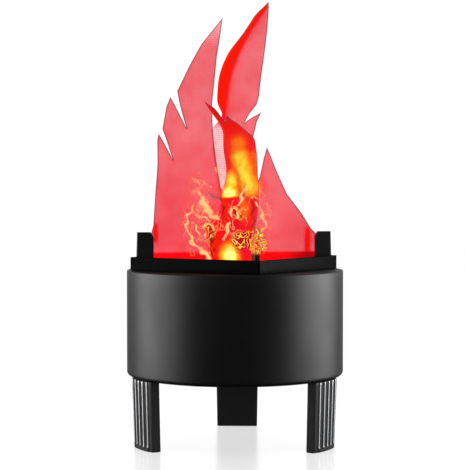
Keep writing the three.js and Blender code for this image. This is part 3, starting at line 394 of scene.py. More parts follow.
# The profiles carried round the axis. The deck's inner edge is the square's distance at each angle.
def makeDrum():
    angle = np.arange(drum["sides"]) * 2 * math.pi / drum["sides"] + collarTurn
    quarter = np.mod(angle - collarTurn, math.pi / 2) - math.pi / 4
    square = drum["holeHalf"] / np.cos(quarter)
    inStep = drum["flatStep"] / 2

    # a profile at every angle, with y held back to the flat's place between its two heights
    def swept(profile, place):
        radius, z = profile[:, :1], profile[:, 1:] + 0 * angle
        held = (z > drum["flatLow"] + inStep) & (z < drum["flatHigh"] - inStep)
        y = radius * np.sin(angle)
        return np.stack([radius * np.cos(angle), np.where(held, np.minimum(y, place), y), z], axis=-1)

    outside, inside = drumProfiles()
    holeTop = np.stack([square * np.cos(angle), square * np.sin(angle), 0 * angle + drum["top"]], axis=-1)
    holeBottom = holeTop - np.array([0, 0, drum["wall"]])
    points = np.concatenate([
        swept(outside, drum["flatPlace"]), holeTop[None], holeBottom[None],
        swept(inside, drum["flatPlace"] - drum["wall"]),
    ])
    piece = pieceFromGrid("drumShell", points, satinBlackAbs(), closeAlong=True, closeAcross=True, flip=True)
    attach(piece, "lamp")
    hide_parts("drum_housing")


makeDrum()
print("drum made")


# Legs: a section with upright ribs on its outer face, carried down with a slight taper and lean.
# The flutes between the ribs end in round scallops above the foot, with fine rows (start, end, step).
leg = {
    "height": 72.1, "outer": 114.0, "width": 47.7, "thickness": 13.4, "taper": 0.05, "lean": 2.2,
    "ribs": 5, "ribPitch": 8.3, "ribHalf": 1.15, "ribHeight": 1.2, "corner": 1.6, "edge": 0.8,
    "fluteEnd": 3.4, "fluteRound": 3.0, "fluteSoft": 0.5, "crestRise": 1.5, "columns": 181,
    "scallopRows": (1.4, 9.2, 0.6), "evenStart": 12.0, "evenEnd": 3.0, "evenRows": 8,
    "topRow": 0.5, "topInset": 0.4, "edgeMiddle": 0.3, "sideSteps": 12, "cornerSteps": 7, "backSteps": 14,
    "angles": {"left": -60, "right": 60, "rear": 180},
}


# Satin black ABS whose rib crests carry a painted highlight: a pale silvery, slightly metallic tint, broken
# into fine specks by the grain
def ribHighlightAbs():
    material, add, shader, place = newMaterial("ribHighlightAbs", IOR=1.1)
    grain = add("TexNoise", place, {"Scale": perMm(grainSize), "Detail": 3})
    crest = add("Attribute", attribute_name="crest").outputs["Fac"]
    speckledCrest = add("Math", grain, 0.06, crest, operation="MULTIPLY_ADD")
    crestHighlight = add("MapRange", speckledCrest, 0.5, 0.85, interpolation_type="SMOOTHSTEP")
    tint = add("Mix", {"Factor": crestHighlight, "A": "#2f2f30", "B": "#a4a5a7"}, data_type="RGBA")
    rough = add("MapRange", crestHighlight, 0, 1, 0.5, 0.45)
    metal = add("MapRange", crestHighlight, 0, 1, 0, 0.25)
    bump = add("Bump", {"Height": grain, "Strength": 0.1, "Distance": 0.05 * millimetre})
    fill(shader, {"Base Color": tint, "Metallic": metal, "Roughness": rough, "Normal": bump})
    return material


# Height of each row of points, up from the floor, and how far its section is drawn in for an edge
def legRows():
    edge, top = leg["edge"], leg["height"]
    middle = edge * leg["edgeMiddle"]
    rows = [(0, edge), (middle, middle), (edge, 0)]
    rows += [(z, 0) for z in np.arange(*leg["scallopRows"])]
    rows += [(z, 0) for z in np.linspace(leg["evenStart"], top - leg["evenEnd"], leg["evenRows"])]
    rows += [(top - leg["topRow"], 0), (top, leg["topInset"])]
    return np.array(rows, dtype=float).T[:, :, None]


# Side, rounded corner and back of a leg's section, from the outer face's end and mirrored
def legSides(sideStart, half, back):
    corner = leg["corner"]
    side = np.linspace(sideStart, -back - corner, leg["sideSteps"])[1:]
    right = np.stack([0 * side + half, side], axis=1)
    angle = np.radians(np.linspace(0, 90, leg["cornerSteps"]))[1:]
    turnIn = np.stack([half - corner * (1 - np.cos(angle)), -back - corner * (1 - np.sin(angle))], axis=1)
    across = np.linspace(half - corner, -(half - corner), leg["backSteps"])[1:-1]
    inner = np.stack([across, 0 * across - back], axis=1)
    return np.vstack([right, turnIn, inner, turnIn[::-1] * [-1, 1], right[::-1] * [-1, 1]])


# Each row's section stands out from the outer arc by the ribs' rounded height, or by the whole of it
# below the scallops, and drops in a quarter circle at its corners
def makeLegs():
    material = ribHighlightAbs()
    height, inset = legRows()
    face = leg["outer"] - leg["ribHeight"]
    half, pitch, corner = leg["width"] / 2, leg["ribPitch"], leg["corner"]
    spread = math.asin(half / face)
    arc = np.linspace(-spread, spread, leg["columns"])
    along = arc * face
    last = (leg["ribs"] - 1) / 2
    nearest = np.clip(np.round(along / pitch), -last, last)
    rib = np.sqrt(np.clip(1 - ((along - nearest * pitch) / leg["ribHalf"]) ** 2, 0, 1))
    fromMiddle = np.abs(np.mod(along / pitch, 1) - 0.5) * pitch
    hollow = np.sqrt(np.clip(leg["fluteRound"] ** 2 - fromMiddle ** 2, 0, None))
    scallop = leg["fluteEnd"] + leg["fluteRound"] - hollow
    belowIt = 1 - smoothStep(height, scallop - leg["fluteSoft"], scallop + leg["fluteSoft"])
    filled = belowIt * (np.abs(along) < last * pitch)
    intoCorner = np.clip(corner - half + np.abs(face * np.sin(arc)), 0, None)
    drop = corner - np.sqrt(np.clip(corner ** 2 - intoCorner ** 2, 0, None))
    radius = face + leg["ribHeight"] * np.maximum(rib, filled) - drop
    outerFace = np.stack([radius * np.sin(arc), -radius * np.cos(arc)], axis=-1)
    back = leg["outer"] - leg["thickness"]
    rest = legSides(outerFace[0, -1, 1], half, back)
    flat = np.concatenate([outerFace, np.broadcast_to(rest, (len(height), *rest.shape))], axis=1)

    middle = np.array([0, -(leg["outer"] + back) / 2])
    flat = (flat - middle) * (1 - inset[..., None] / np.array([half, leg["thickness"] / 2])) + middle
    down = 1 - height / leg["height"]
    points = np.stack([flat[..., 0] * (1 - leg["taper"] * down), flat[..., 1] + leg["lean"] * down,
                       height + 0 * flat[..., 0]], axis=-1)
    # the painted highlight lies along each rib's crest and rises in just above the scallops
    crest = np.zeros(points.shape[:2])
    crest[:, :len(arc)] = rib * smoothStep(height, leg["fluteEnd"], leg["fluteEnd"] + leg["crestRise"])
    for name, degrees in leg["angles"].items():
        turned = turnedAboutZ(points, math.radians(degrees))
        piece = pieceFromGrid("ribbedLeg_" + name, turned, material, values={"crest": crest},
                              closeAcross=True, capped=True, sharpAngle=50)
        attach(piece, "lamp")
        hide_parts("leg_" + name)


makeLegs()
print("legs made")


# Silk: each wing is a row of tongues side by side, cut from the flat cloth and hung on its blown
# shape. Reach is from the axis along the wing, and height from the hem. A pair is where a change
# starts and ends.
silk = {
    "hem": 181.0, "rise": 288.0, "thickness": 0.35, "postInner": 88.0, "clamp": 5.0, "postTop": 224.0,
    "pleatDepth": 1.4, "pleatLength": 34.0, "sideBillow": 5.0, "billowStart": 60.0,
    "frontBillow": 22.0, "frontLean": 20.0, "leanStart": 143.0, "leanEnd": 185.0,
    "waist": 0.26, "waistHeight": 106.0, "waistSize": 20.0,
    "flare": 3.0, "flareReach": (62, 95), "flareHeight": (45, 85),
    "turnStart": 44.0, "turnEnd": 158.0, "tongueRight": 24.0, "tongueDrift": 12.0, "tongueBack": 12.0,
    "tongueWidth": 42.0, "foldStart": 200.0, "foldPower": 1.9, "foldRadius": 4.0,
    "neck": 0.21, "neckHeight": 168.0, "neckSize": 9.0, "skirt": 0.1, "skirtEnd": 153.0, "neckStart": 161.0,
    "viewTurn": math.radians(12.2),
    "pitch": 1.4, "moreColumns": 6, "rowGap": 0.4, "tipGap": 0.3, "tipHalf": 0.15,
}

# Edges of the cut, as (height, reach) points in millimetres from the hem and from the axis
leftSeam = [(0, 1.3), (70, 1.3), (79, 9), (89.5, 15.4), (108.2, 18.7), (123.4, 20.6), (141.7, 22.4),
            (156.9, 23.6), (178, 24.4), (209.2, 21.4), (229.3, 19.5), (255.8, 15.2), (269.7, 13.3)]
leftNotchHigh = [(0, 51.3), (153, 51.3)]
leftNotchLow = [(0, 66.5), (119.2, 66.5)]
frontNotch = [(0, 55.5), (156.5, 55.5)]
wings = {
    "left": [
        [leftSeam,
         leftNotchHigh + [(177, 58.8), (191.6, 62), (219.2, 48), (242.7, 34.6), (253.4, 26), (269.7, 13.3)]],
        [leftNotchHigh + [(185.2, 69.6)], leftNotchLow + [(151.5, 78.2), (174.7, 73.8), (185.2, 69.6)]],
        [leftNotchLow + [(146.4, 82.1)],
         [(0, 91), (38.9, 91), (50.5, 87.8), (87.3, 85.6), (113.6, 83.6), (139.9, 83.6), (146.4, 82.1)]],
    ],
    "right": [
        [[(0, 1.3), (69, 1.3), (76.3, 12), (87.8, 22.1), (100.8, 27.6), (121, 32.2), (132.8, 36.1)],
         [(0, 91), (38.9, 91), (46.1, 83.7), (61.9, 73.6), (83.5, 58), (108, 46.9), (123.8, 40.5),
          (132.8, 36.1)]],
    ],
    "front": [
        [[(0, 1.3), (76.3, 1.3), (99.4, 10.1), (126.7, 18.4), (146.9, 23.9), (158.4, 30.4),
          (169.9, 35.9), (179.1, 39.6)],
         frontNotch + [(162.2, 53.4), (166.2, 53), (171.2, 51.8), (176.5, 46), (179.1, 39.6)]],
        [frontNotch + [(163.5, 58.2)],
         [(0, 91), (41.8, 91), (60, 95), (72, 98.4), (85, 98), (113.2, 97), (123, 95), (132.2, 88),
          (140.5, 78), (145.5, 71.5), (150.8, 67), (154.8, 64), (159.5, 60.2), (163.5, 58.2)]],
    ],
    "rear": [
        [[(0, 1.3), (80.6, 1.3), (108, 2.8), (144, 3.7), (159.8, 0.9), (170.5, -3.7)],
         [(0, 14.7), (159.3, 14.7), (170.5, -3.7)]],
        [[(0, 14.7), (159.3, 14.7), (167, 10.1), (178.6, 1.8), (187.2, 0), (244.8, 0), (288, 0)],
         [(0, 91), (41.8, 91), (77.8, 92.9), (118.1, 88.3), (148, 79), (158, 60), (167, 44), (178, 49),
          (190, 56), (213.1, 55.2), (233.3, 42.3), (253.4, 27.6), (273.6, 14), (288, 0.6)]],
    ],
}
sharedEdges = [1.3, 14.7, 51.3, 55.5, 66.5]  # reaches where two tongues, or a wing and the seam, join

# Light of the lamps painted on the silk, in millimetres across and up. Spots are (x, z, half width, half
# height, heat). The rest are strokes: (half width, strength, points).
lampSpots = [(-4, 265, 12, 11, 1.0), (-2, 277, 9, 15, 0.8)]
lowSpots = [(-5, 200, 14, 17, 1.0), (11, 248, 9, 17, 0.36)]
lampLobes = [
    (9, 0.42, [(5, 315), (6, 303)]),
    (9, 0.72, [(7, 301), (10, 291), (12, 281), (18, 271)]),
    (6, 0.33, [(20, 303), (21, 283)]),
]
# the upper light stops at a line that rises to the right, sharp at its left and soft at its right
lobeFoot = {"x": -14.0, "z": 258.5, "slope": 0.1, "sharp": 2.0, "soft": 16.0, "softBand": (2, 12)}
lampLicks = [
    (1.3, 1.0, [(-44, 251), (-50, 242), (-52, 232), (-49, 223), (-46, 214), (-40, 207), (-33, 201),
                (-29, 198)]),
    (1.1, 0.8, [(-38, 281), (-39, 274), (-37, 268), (-37, 258)]),
    (3.6, 0.95, [(-35, 258), (-31, 249)]),
    (2.8, 0.95, [(-31, 249), (-25, 242)]),
    (1.8, 1.0, [(-25, 242), (-17, 237)]),
    (1.4, 0.9, [(-41, 246), (-36, 240), (-27, 236)]),
    (1.1, 0.8, [(-19, 294), (-18, 282)]),
    (1.1, 0.7, [(-26, 272), (-29, 262), (-26, 254)]),
    (3.0, 1.0, [(-36, 206), (-32, 202), (-29, 197)]),
    (1.3, 0.9, [(-33, 231), (-25, 232), (-21, 227)]),
    (1.2, 0.9, [(-43, 230), (-38, 222), (-40, 214)]),
    (1.2, 0.9, [(-33, 222), (-30, 217)]),
    (1.4, 0.85, [(15, 272), (10, 264), (6, 254)]),
    (1.3, 0.75, [(-4, 249), (-1, 241)]),
    (1.3, 0.85, [(2, 251), (5, 240)]),
    (1.3, 0.9, [(25, 255), (27, 246), (32, 236), (32, 230), (29, 224)]),
    (2.0, 1.0, [(-5, 232), (-8, 225), (-11, 218)]),
]
lampCurls = [
    (6, 1.0, [(5, 216), (22, 219), (26, 209)]),
    (4, 0.5, [(2, 248), (6, 240)]),
    (4, 0.55, [(-30, 230), (-25, 224), (-26, 214)]),
]
lampWisps = [
    (6, 0.9, [(-45, 248), (-48, 225), (-40, 206)]),
    (7, 0.9, [(-38, 276), (-35, 252), (-24, 238), (-20, 228)]),
    (5, 0.7, [(-34, 228), (-31, 212), (-30, 200)]),
    (8, 0.6, [(4, 254), (6, 240), (0, 230)]),
    (6, 0.8, [(18, 268), (30, 248), (32, 226)]),
]
doubledCloth = [
    (3.5, 1.0, [(-9, 256), (-9, 225)]),
    (5.5, 1.0, [(-22, 229), (-22, 208)]),
    (2.2, 1.0, [(17, 262), (18, 229)]),
    (3.5, 1.0, [(-8, 332), (-6, 312), (-5, 290)]),
]
# painted shade, where the cloth lies away from the lamps
shadedCloth = [
    (2.2, 0.46, [(-4, 298), (1, 290), (5, 281), (10, 273), (11, 262)]),
    (0.9, 0.4, [(2, 338), (1, 326), (3, 312)]),
    (1.6, 1.0, [(-26, 264), (-21, 260), (-15, 258.5)]),
    (1.6, 0.6, [(20, 256), (21, 232)]),
    (2.0, 0.7, [(-23, 226), (-25, 212), (-23, 201)]),
    (1.3, 0.8, [(-11, 252), (-12, 240)]),
]
# how far, and over what length, the strokes of light wander, and how their waves sway and stretch
wander = {"size": 2.1, "amount": 1.5, "swayX": 1.7, "stretchX": 1.9, "swayZ": 1.3, "stretchZ": 1.6}
# painted light on the silk inside the collar: a red glow below the edge heights, painted dimmer between the
# dim places across
well = {"edge": (201.0, 203.5), "dim": (44.0, 80.0)}  # the light inside the collar
# a stroke's values between which it comes up, and a spot's distances, in half widths, where it fades
lobeCore, softCore, firmCore, shadeCore = (0, 0.9), (0.05, 0.5), (0.2, 0.6), (0.2, 0.7)
spotFade = (0.2, 1.3)


# One swell across the wing: nothing at the seam and at the post, full between them
def foldShape(reach):
    span = silk["postInner"] - silk["clamp"]
    return np.where((reach > 0) & (reach < span), np.sin(np.pi * reach / span) ** 2, 0)


# Small pleats, a sine along the wing that leans with height and dies out at the seam and post
def ripple(reach, height):
    top = silk["postTop"] - silk["hem"]
    held = 1 - smoothStep(height, top, top + silk["pleatLength"])
    free = smoothStep(reach, 0, silk["pleatLength"] / 2)
    wave = silk["pleatDepth"] * np.sin(2 * np.pi * (reach + height / 4) / silk["pleatLength"])
    return wave * free * (held * foldShape(reach) + 1 - held)


# The wings at the sides stand nearly flat, with a shallow swell that is full from a height on. Side
# is 1 or -1, and takes the swell of both to the back of the lamp.
def sideWing(side, reach, height):
    swell = silk["sideBillow"] * foldShape(reach) * smoothStep(height, 0, silk["billowStart"])
    return reach, ripple(reach, height) + side * swell


# The wing towards the viewer, bellied out to one side with a waist in it, its upper part leaning
# further over, and its free edge flaring to the other side
def frontWing(reach, height):
    waist = silk["waist"] * np.exp(-((height - silk["waistHeight"]) / silk["waistSize"]) ** 2)
    full = silk["frontBillow"] * smoothStep(height, 0, silk["billowStart"]) * (1 - waist)
    lean = silk["frontLean"] * smoothStep(height, silk["leanStart"], silk["leanEnd"])
    flare = silk["flare"] * smoothStep(reach, *silk["flareReach"]) * smoothStep(height, *silk["flareHeight"])
    return reach, ripple(reach, height) - foldShape(reach) * (full + lean) + flare


# Share of the tall tongue's width that is left as its far edge rolls up towards the tip
def tongueShare(height):
    up = np.clip((height - silk["foldStart"]) / (silk["rise"] - silk["foldStart"]), 0, 1)
    return 1 - up ** silk["foldPower"]


# The tall tongue narrows to a neck at its foot, and the cloth is a little wider below that
def neckShare(height):
    neck = silk["neck"] * np.exp(-((height - silk["neckHeight"]) / silk["neckSize"]) ** 2)
    return silk["skirt"] * (1 - smoothStep(height, silk["skirtEnd"], silk["neckStart"])) - neck


# The wing leaves its post edge-on and turns to face forward higher up. Past the tongue's width the
# cloth runs round a half circle and back behind itself.
def rearWing(reach, height):
    turn = smoothStep(height, silk["turnStart"], silk["turnEnd"])
    fold = silk["foldRadius"]
    share = np.maximum(tongueShare(height) + neckShare(height), fold / silk["tongueWidth"])
    width = silk["tongueWidth"] * share
    right = silk["tongueRight"] + silk["tongueDrift"] * smoothStep(height, silk["turnEnd"], silk["rise"])
    past = reach - width
    inRoll = np.clip(past, 0, np.pi * fold)
    beyond = np.clip(past - np.pi * fold, 0, None)
    across = right - np.minimum(reach, width) - fold * np.sin(inRoll / fold) + beyond
    back = silk["tongueBack"] + fold * (1 - np.cos(inRoll / fold))
    view = silk["viewTurn"]
    x = across * math.cos(view) + back * math.sin(view)
    y = back * math.cos(view) - across * math.sin(view)
    return y * turn + reach * (1 - turn), ripple(reach, height) - x * turn


# Reach of an edge at each height, in straight lines between its points
def edgeAt(points, height):
    heights, reaches = np.array(points, dtype=float).T
    return np.interp(height, heights, reaches)


# Grid of each tongue: rows at shared heights up to its tip, and columns closer together at its
# edges. Gives each point's reach and height, and the faces.
def cutCloth(tongues):
    notches = [point[0] for tongue in tongues for edge in tongue for point in edge[1:-1]]
    regular = np.arange(0, silk["rise"], silk["pitch"])
    clear = np.abs(regular[:, None] - np.array(notches)).min(axis=1) > silk["rowGap"]
    rows = np.unique(np.concatenate([regular[clear], notches]))
    reaches, heights, faces, start = [], [], [], 0
    for inner, outer in tongues:
        tip = inner[-1][0]
        height = np.append(rows[rows < tip - silk["tipGap"]], tip)
        low, high = edgeAt(inner, height), edgeAt(outer, height)
        low[-1] -= silk["tipHalf"]
        high[-1] += silk["tipHalf"]
        columns = int((high - low).max() / silk["pitch"]) + silk["moreColumns"]
        across = (1 - np.cos(np.pi * np.linspace(0, 1, columns))) / 2
        reach = low[:, None] + (high - low)[:, None] * across
        faces += gridFaces(*reach.shape, start=start)
        reaches.append(reach.ravel())
        heights.append(np.repeat(height, columns))
        start += reach.size
    return np.concatenate(reaches), np.concatenate(heights), np.array(faces)


# Each point's distance to the nearest of the straight lines from the first points to the last ones
def lineDistance(points, first, last):
    step = last - first
    offset = points[:, None] - first
    share = np.clip((offset * step).sum(-1) / (step ** 2).sum(-1), 0, 1)
    return np.linalg.norm(offset - share[..., None] * step, axis=-1).min(axis=1)


# Each point's distance to the nearest cut edge of its wing
def edgeDistance(tongues, reach, height):
    lines = [np.array(edge, dtype=float) for tongue in tongues for edge in tongue]
    first = np.concatenate([line[:-1] for line in lines])
    last = np.concatenate([line[1:] for line in lines])
    joined = (first[:, 0] == 0) & np.isin(first[:, 1], sharedEdges)
    return lineDistance(np.stack([height, reach], axis=1), first[~joined], last[~joined])


# The strongest of several strokes at each place: full on a stroke's line, nothing at twice its half width
def strokes(place, rows):
    value = np.zeros(len(place))
    for half, strength, points in rows:
        line = np.array(points, dtype=float)
        gap = lineDistance(place, line[:-1], line[1:])
        value = np.maximum(value, strength * np.clip(1 - gap / (2 * half), 0, 1))
    return value


# The strongest of several soft oval spots at each place
def spots(x, z, rows):
    value = np.zeros(len(x))
    for middleX, middleZ, wide, tall, share in rows:
        far = np.hypot((x - middleX) / wide, (z - middleZ) / tall)
        value = np.maximum(value, share * (1 - smoothStep(far, *spotFade)))
    return value


# How the lamps' light is painted on the silk: glow in soft spots and lobes, thin pale licks, curls and
# wisps, cloth that lies double, painted shade, and the red glow of the collar's well, painted dimmer at its
# right
def lampLight(x, z):
    size = wander["size"]
    place = np.stack([x, z], axis=1)
    swayX = np.sin(z / size + wander["swayX"] * np.sin(x / size / wander["stretchX"]))
    swayZ = np.sin(x / size + wander["swayZ"] * np.sin(z / size / wander["stretchZ"]))
    bent = place + wander["amount"] * np.stack([swayX, swayZ], axis=1)
    heat = spots(x, z, lampSpots)
    for half, strength, points in lampLobes:
        heat = np.maximum(heat, strength * smoothStep(strokes(place, [(half, 1.0, points)]), *lobeCore))
    foot = lobeFoot["z"] + (x - lobeFoot["x"]) * lobeFoot["slope"]
    soft = lobeFoot["soft"] * smoothStep(x, *lobeFoot["softBand"])
    heat = np.maximum(heat * smoothStep(z, foot - soft, foot + lobeFoot["sharp"]), spots(x, z, lowSpots))
    return {
        "glow": heat, "lick": strokes(bent, lampLicks),
        "curl": smoothStep(strokes(place, lampCurls), *softCore),
        "wisp": smoothStep(strokes(place, lampWisps), *softCore),
        "fold": smoothStep(strokes(place, doubledCloth), *firmCore),
        "shade": smoothStep(strokes(bent, shadedCloth), *shadeCore),
        "well": 1 - smoothStep(z, *well["edge"]), "dim": smoothStep(x, *well["dim"]),
    }


flameStops = [(0.0, "#ef1c26"), (0.25, "#f23a1a"), (0.45, "#fb7a18"), (0.65, "#fdb02c"), (0.82, "#ffe03c"),
              (1.0, "#fffa96")]


# Thin lines where a noise passes its middle value, bright on the line and spent at a half width
def contourLines(add, centred, halfWidth, bright, spent=0.0):
    away = add("Math", centred, operation="ABSOLUTE")
    return add("MapRange", away, 0, halfWidth, bright, spent)


# Thin red habotai silk: sheer and softly lustrous, its doubled parts denser and warmer, with the lamps'
# light painted into it as a glow over all of it and as flame-coloured patches. Its cut edges are
# heat-sealed, so they are dark.
def habotaiSilk():
    material, add, shader, place = newMaterial(
        "redHabotaiSilk", roughness=0.55, specularIORLevel=0.0, sheenWeight=0.1, sheenRoughness=0.4)
    painted = {key: add("Attribute", attribute_name=key).outputs["Fac"]
               for key in ("glow", "lick", "curl", "wisp", "fold", "shade", "cover", "edge", "well", "dim")}
    # threads are 0.2 mm apart in truth, drawn 2.2 mm apart so that the weave shows
    cut = add("UVMap", uv_map="cut").outputs["UV"]
    thread = add("VectorMath", cut, {"Scale": 2 * math.pi * perMm(2.2)}, operation="SCALE")
    thread = add("SeparateXYZ", thread).outputs
    warp, weft = [add("Math", thread[axis], operation="SINE") for axis in "XY"]
    weave = add("Math", warp, 0.3, weft, operation="MULTIPLY_ADD")
    cloud = add("TexNoise", place, {"Scale": perMm(26), "Detail": 2})
    mottle = add("TexNoise", place, {"Scale": perMm(8), "Detail": 2})
    # flame light: its edges are ragged, thin rings curl among the curls, and strands among the wisps
    flat = add("Mapping", place, {"Scale": (1.0, 0.35, 0.75)})
    swirl = add("TexNoise", flat, {"Scale": perMm(8), "Detail": 1.2, "Distortion": 1.7})
    centred = add("Math", swirl, 0.5, operation="SUBTRACT")
    ring = add("Math", contourLines(add, centred, 0.085, 1.15), painted["curl"], operation="MULTIPLY")
    loose = add("TexNoise", flat, {"Scale": perMm(17), "Detail": 4, "Roughness": 0.45, "Distortion": 1.6})
    strand = add("Math", loose, 0.5, operation="SUBTRACT")
    strand = add("Math", contourLines(add, strand, 0.03, 0.55), painted["wisp"], operation="MULTIPLY")
    ragged = add("Math", centred, 0.6, painted["lick"], operation="MULTIPLY_ADD")
    lick = add("MapRange", ragged, 0.3, 0.8, 0, 0.8, interpolation_type="SMOOTHSTEP")
    lick = add("Math", lick, strand, operation="MAXIMUM")
    heat = add("Math", painted["glow"], ring, operation="MAXIMUM")
    flicker = add("Math", centred, heat, operation="MULTIPLY")
    heat = add("Math", flicker, 0.5, heat, operation="MULTIPLY_ADD", use_clamp=True)
    flame = add("ValToRGB", heat, stops=flameStops)
    warm = add("MapRange", heat, 0.0, 0.25)
    hem = add("MapRange", painted["edge"], 0.5, 1.3, 0.85, 0.0)
    # painted shade: dark gaps between the rings of light among the curls, added to the shade strokes
    shadedGaps = add("Math", ring, -1.0, painted["curl"], operation="MULTIPLY_ADD", use_clamp=True)
    dark = add("Math", shadedGaps, 0.7, painted["shade"], operation="MULTIPLY_ADD", use_clamp=True)
    # colours, each laid over the one before: cloth, doubled cloth, painted well glow, painted flame light,
    # painted shade, painted licks of light, hem
    shade = add("Mix", {"Factor": cloud, "A": "#ee0a3c", "B": "#e2062f"}, data_type="RGBA")
    # painted red glow of the collar's well on the silk, with painted shade towards its right
    red = add("Mix", {"Factor": painted["dim"], "A": "#e80a10", "B": "#a00408"}, data_type="RGBA")
    for factor, colour in (
            (painted["fold"], "#f41c08"), (painted["well"], red), (warm, flame),
            (dark, "#9c0f0c"), (lick, "#ffe49a"), (hem, "#843842")):
        shade = add("Mix", {"Factor": factor, "A": shade, "B": colour}, data_type="RGBA")
    bright = add("Math", heat, lick, operation="MAXIMUM")
    # painted light: the whole cloth glows a little as if lit by the lamps beneath, more in the flame and
    # licks and in the collar's well
    lampGlowStrength = add("MapRange", bright, 0, 1, 0.345, 0.43)
    lampGlowStrength = add("Math", painted["well"], 0.3, lampGlowStrength, operation="MULTIPLY_ADD")
    # cover: the weave, the clouds and the light all change how much of the cloth is seen through
    cover = add("Math", weave, 0.036, painted["cover"], operation="MULTIPLY_ADD")
    for part, share in ((cloud, 0.18), (mottle, 0.08), (bright, 0.4), (painted["fold"], 0.25),
                        (painted["well"], 0.3), (hem, 0.3)):
        cover = add("Math", part, share, cover, operation="MULTIPLY_ADD")
    cover = add("Math", cover, 0.13, operation="SUBTRACT", use_clamp=True)
    bump = add("Bump", {"Height": weave, "Strength": 0.1, "Distance": 0.05 * millimetre})
    fill(shader, {"Base Color": shade, "Emission Color": shade, "Emission Strength": lampGlowStrength, "Alpha": cover,
                  "Normal": bump})
    return material


# How the cloth lies double and how much light passes through it, by wing. Pairs are where a change
# starts and ends, except that a fold's line is its reach and its half width.
density = {
    "through": 0.075, "thinner": 0.07, "thinnerHigh": (50, 150), "foldHides": 0.9,
    "rollLeast": 0.1, "bandLeast": 0.05, "roll": 0.75, "rollEdge": (14, 5), "rollSpread": 30,
    "rollHigh": (157, 176),
    # sheer and its pairs: painted shade, where the rear wing's lower part is out of the lamps' light and
    # lets more white through
    "sheer": 0.7, "sheerFoot": (60, 95), "sheerTop": (152, 166), "sheerReach": (23, 31),
    "right": 0.105, "rightThinner": 0.04, "rightHigh": (50, 120),
    "rightFold": 0.9, "rightLine": (80, 3), "rightTop": (40, 52),
    "leftTip": 0.2, "leftTipHigh": (240, 262), "leftLine": (85.5, 2), "leftFoot": (30, 36),
    "leftTop": (48, 54),
    "frontShare": 0.45, "frontFold": 0.5, "frontFoot": (24, 40), "frontMore": 0.4, "frontTop": (136, 152),
}


# How much an upright fold at one reach shows, full on its line and fading to both sides
def foldLine(reach, line):
    return np.exp(-((reach - line[0]) / line[1]) ** 2)


# The tall tongue's rolled edge is doubled, sharply to the left and softly to the right
def rollFold(reach, height):
    share = tongueShare(height)
    width = silk["tongueWidth"] * np.maximum(share, density["rollLeast"])
    band = np.sqrt(np.maximum(share, density["bandLeast"]))
    start, end = density["rollEdge"]
    edge = density["roll"] * smoothStep(reach, width - start * band, width - end * band)
    spread = (1 - density["roll"]) * smoothStep(reach, width - density["rollSpread"] * band, width)
    return (edge + spread) * smoothStep(height, *density["rollHigh"])


# How far each point is folded double, and the share of light that passes straight through it
def silkDensity(name, reach, height):
    # how far the points are up through a pair of heights
    def up(pair):
        return smoothStep(height, *density[pair])

    fold = np.zeros(len(reach))
    through = density["through"] + density["thinner"] * up("thinnerHigh")
    if name == "rear":
        fold = rollFold(reach, height)
        # painted shade: the rear wing's lower part, out of the lamps' light, lets more white through and
        # shows paler
        low = up("sheerFoot") * (1 - up("sheerTop"))
        through += low * smoothStep(reach, *density["sheerReach"]) * (density["sheer"] - through)
    if name == "right":
        through = density["right"] + density["rightThinner"] * up("rightHigh")
        fold = foldLine(reach, density["rightLine"]) * (1 - up("rightTop")) * density["rightFold"]
    if name == "left":
        through += density["leftTip"] * up("leftTipHigh")
        fold = foldLine(reach, density["leftLine"]) * up("leftFoot") * (1 - up("leftTop"))
    if name == "front":  # seen nearly edge-on, so it looks redder and little passes through
        through *= density["frontShare"]
        fold = density["frontFold"] * up("frontFoot") + density["frontMore"] * up("frontTop")
    return fold, through * (1 - density["foldHides"] * fold)


horn = {"shade": 0.4, "height": (156, 166), "reach": (44, 52)}  # the front wing's upper left corner


# What the material reads at each point: the lamps' light, folds, cover and distance to the cut edge
def silkValues(name, reach, height, points):
    values = lampLight(points[:, 0], points[:, 2])
    fold, through = silkDensity(name, reach, height)
    values["fold"] = np.maximum(fold, values["fold"])
    if name == "front":  # its upper left corner lies over on itself, away from the lamps
        # painted shade darkens that corner, which lies away from the lamps
        over = smoothStep(height, *horn["height"]) * smoothStep(reach, *horn["reach"])
        over *= reach < frontNotch[0][1]
        values["shade"] = np.maximum(values["shade"], horn["shade"] * over)
    values["cover"] = 1 - np.sqrt(through)
    values["edge"] = edgeDistance(wings[name], reach, height)
    return values


# Each wing's cut cloth hung on its shape a quarter turn from the last, with the flat cut as its UV map
def makeSilk():
    material = habotaiSilk()
    shapes = {"right": partial(sideWing, 1), "rear": rearWing, "left": partial(sideWing, -1),
              "front": frontWing}
    for turn, (name, shape) in enumerate(shapes.items()):
        tongues = wings[name]
        reach, height, faces = cutCloth(tongues)
        points = np.stack([*shape(reach, height), height + silk["hem"]], axis=1)
        points = turnedAboutZ(points, collarTurn + turn * math.pi / 2)
        mesh = bpy.data.meshes.new("silk_" + name)
        mesh.from_pydata((points * millimetre).tolist(), [], faces.tolist())
        corners = np.empty(len(mesh.loops), dtype=np.int32)
        mesh.loops.foreach_get("vertex_index", corners)
        flat = np.stack([reach, height], axis=1) * millimetre
        mesh.uv_layers.new(name="cut").data.foreach_set("uv", flat[corners].ravel().astype(np.float32))
        keepValues(mesh, silkValues(name, reach, height, points))
        piece = finishMesh("silkWing_" + name, mesh, material, sharpAngle=180)
        wall = piece.modifiers.new("clothThickness", "SOLIDIFY")
        wall.thickness = silk["thickness"] * millimetre
        wall.offset = 0
        wall.use_even_offset = False
        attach(piece, "lamp")
        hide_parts(f"silk_{name}_wing")


makeSilk()
print("silk made")


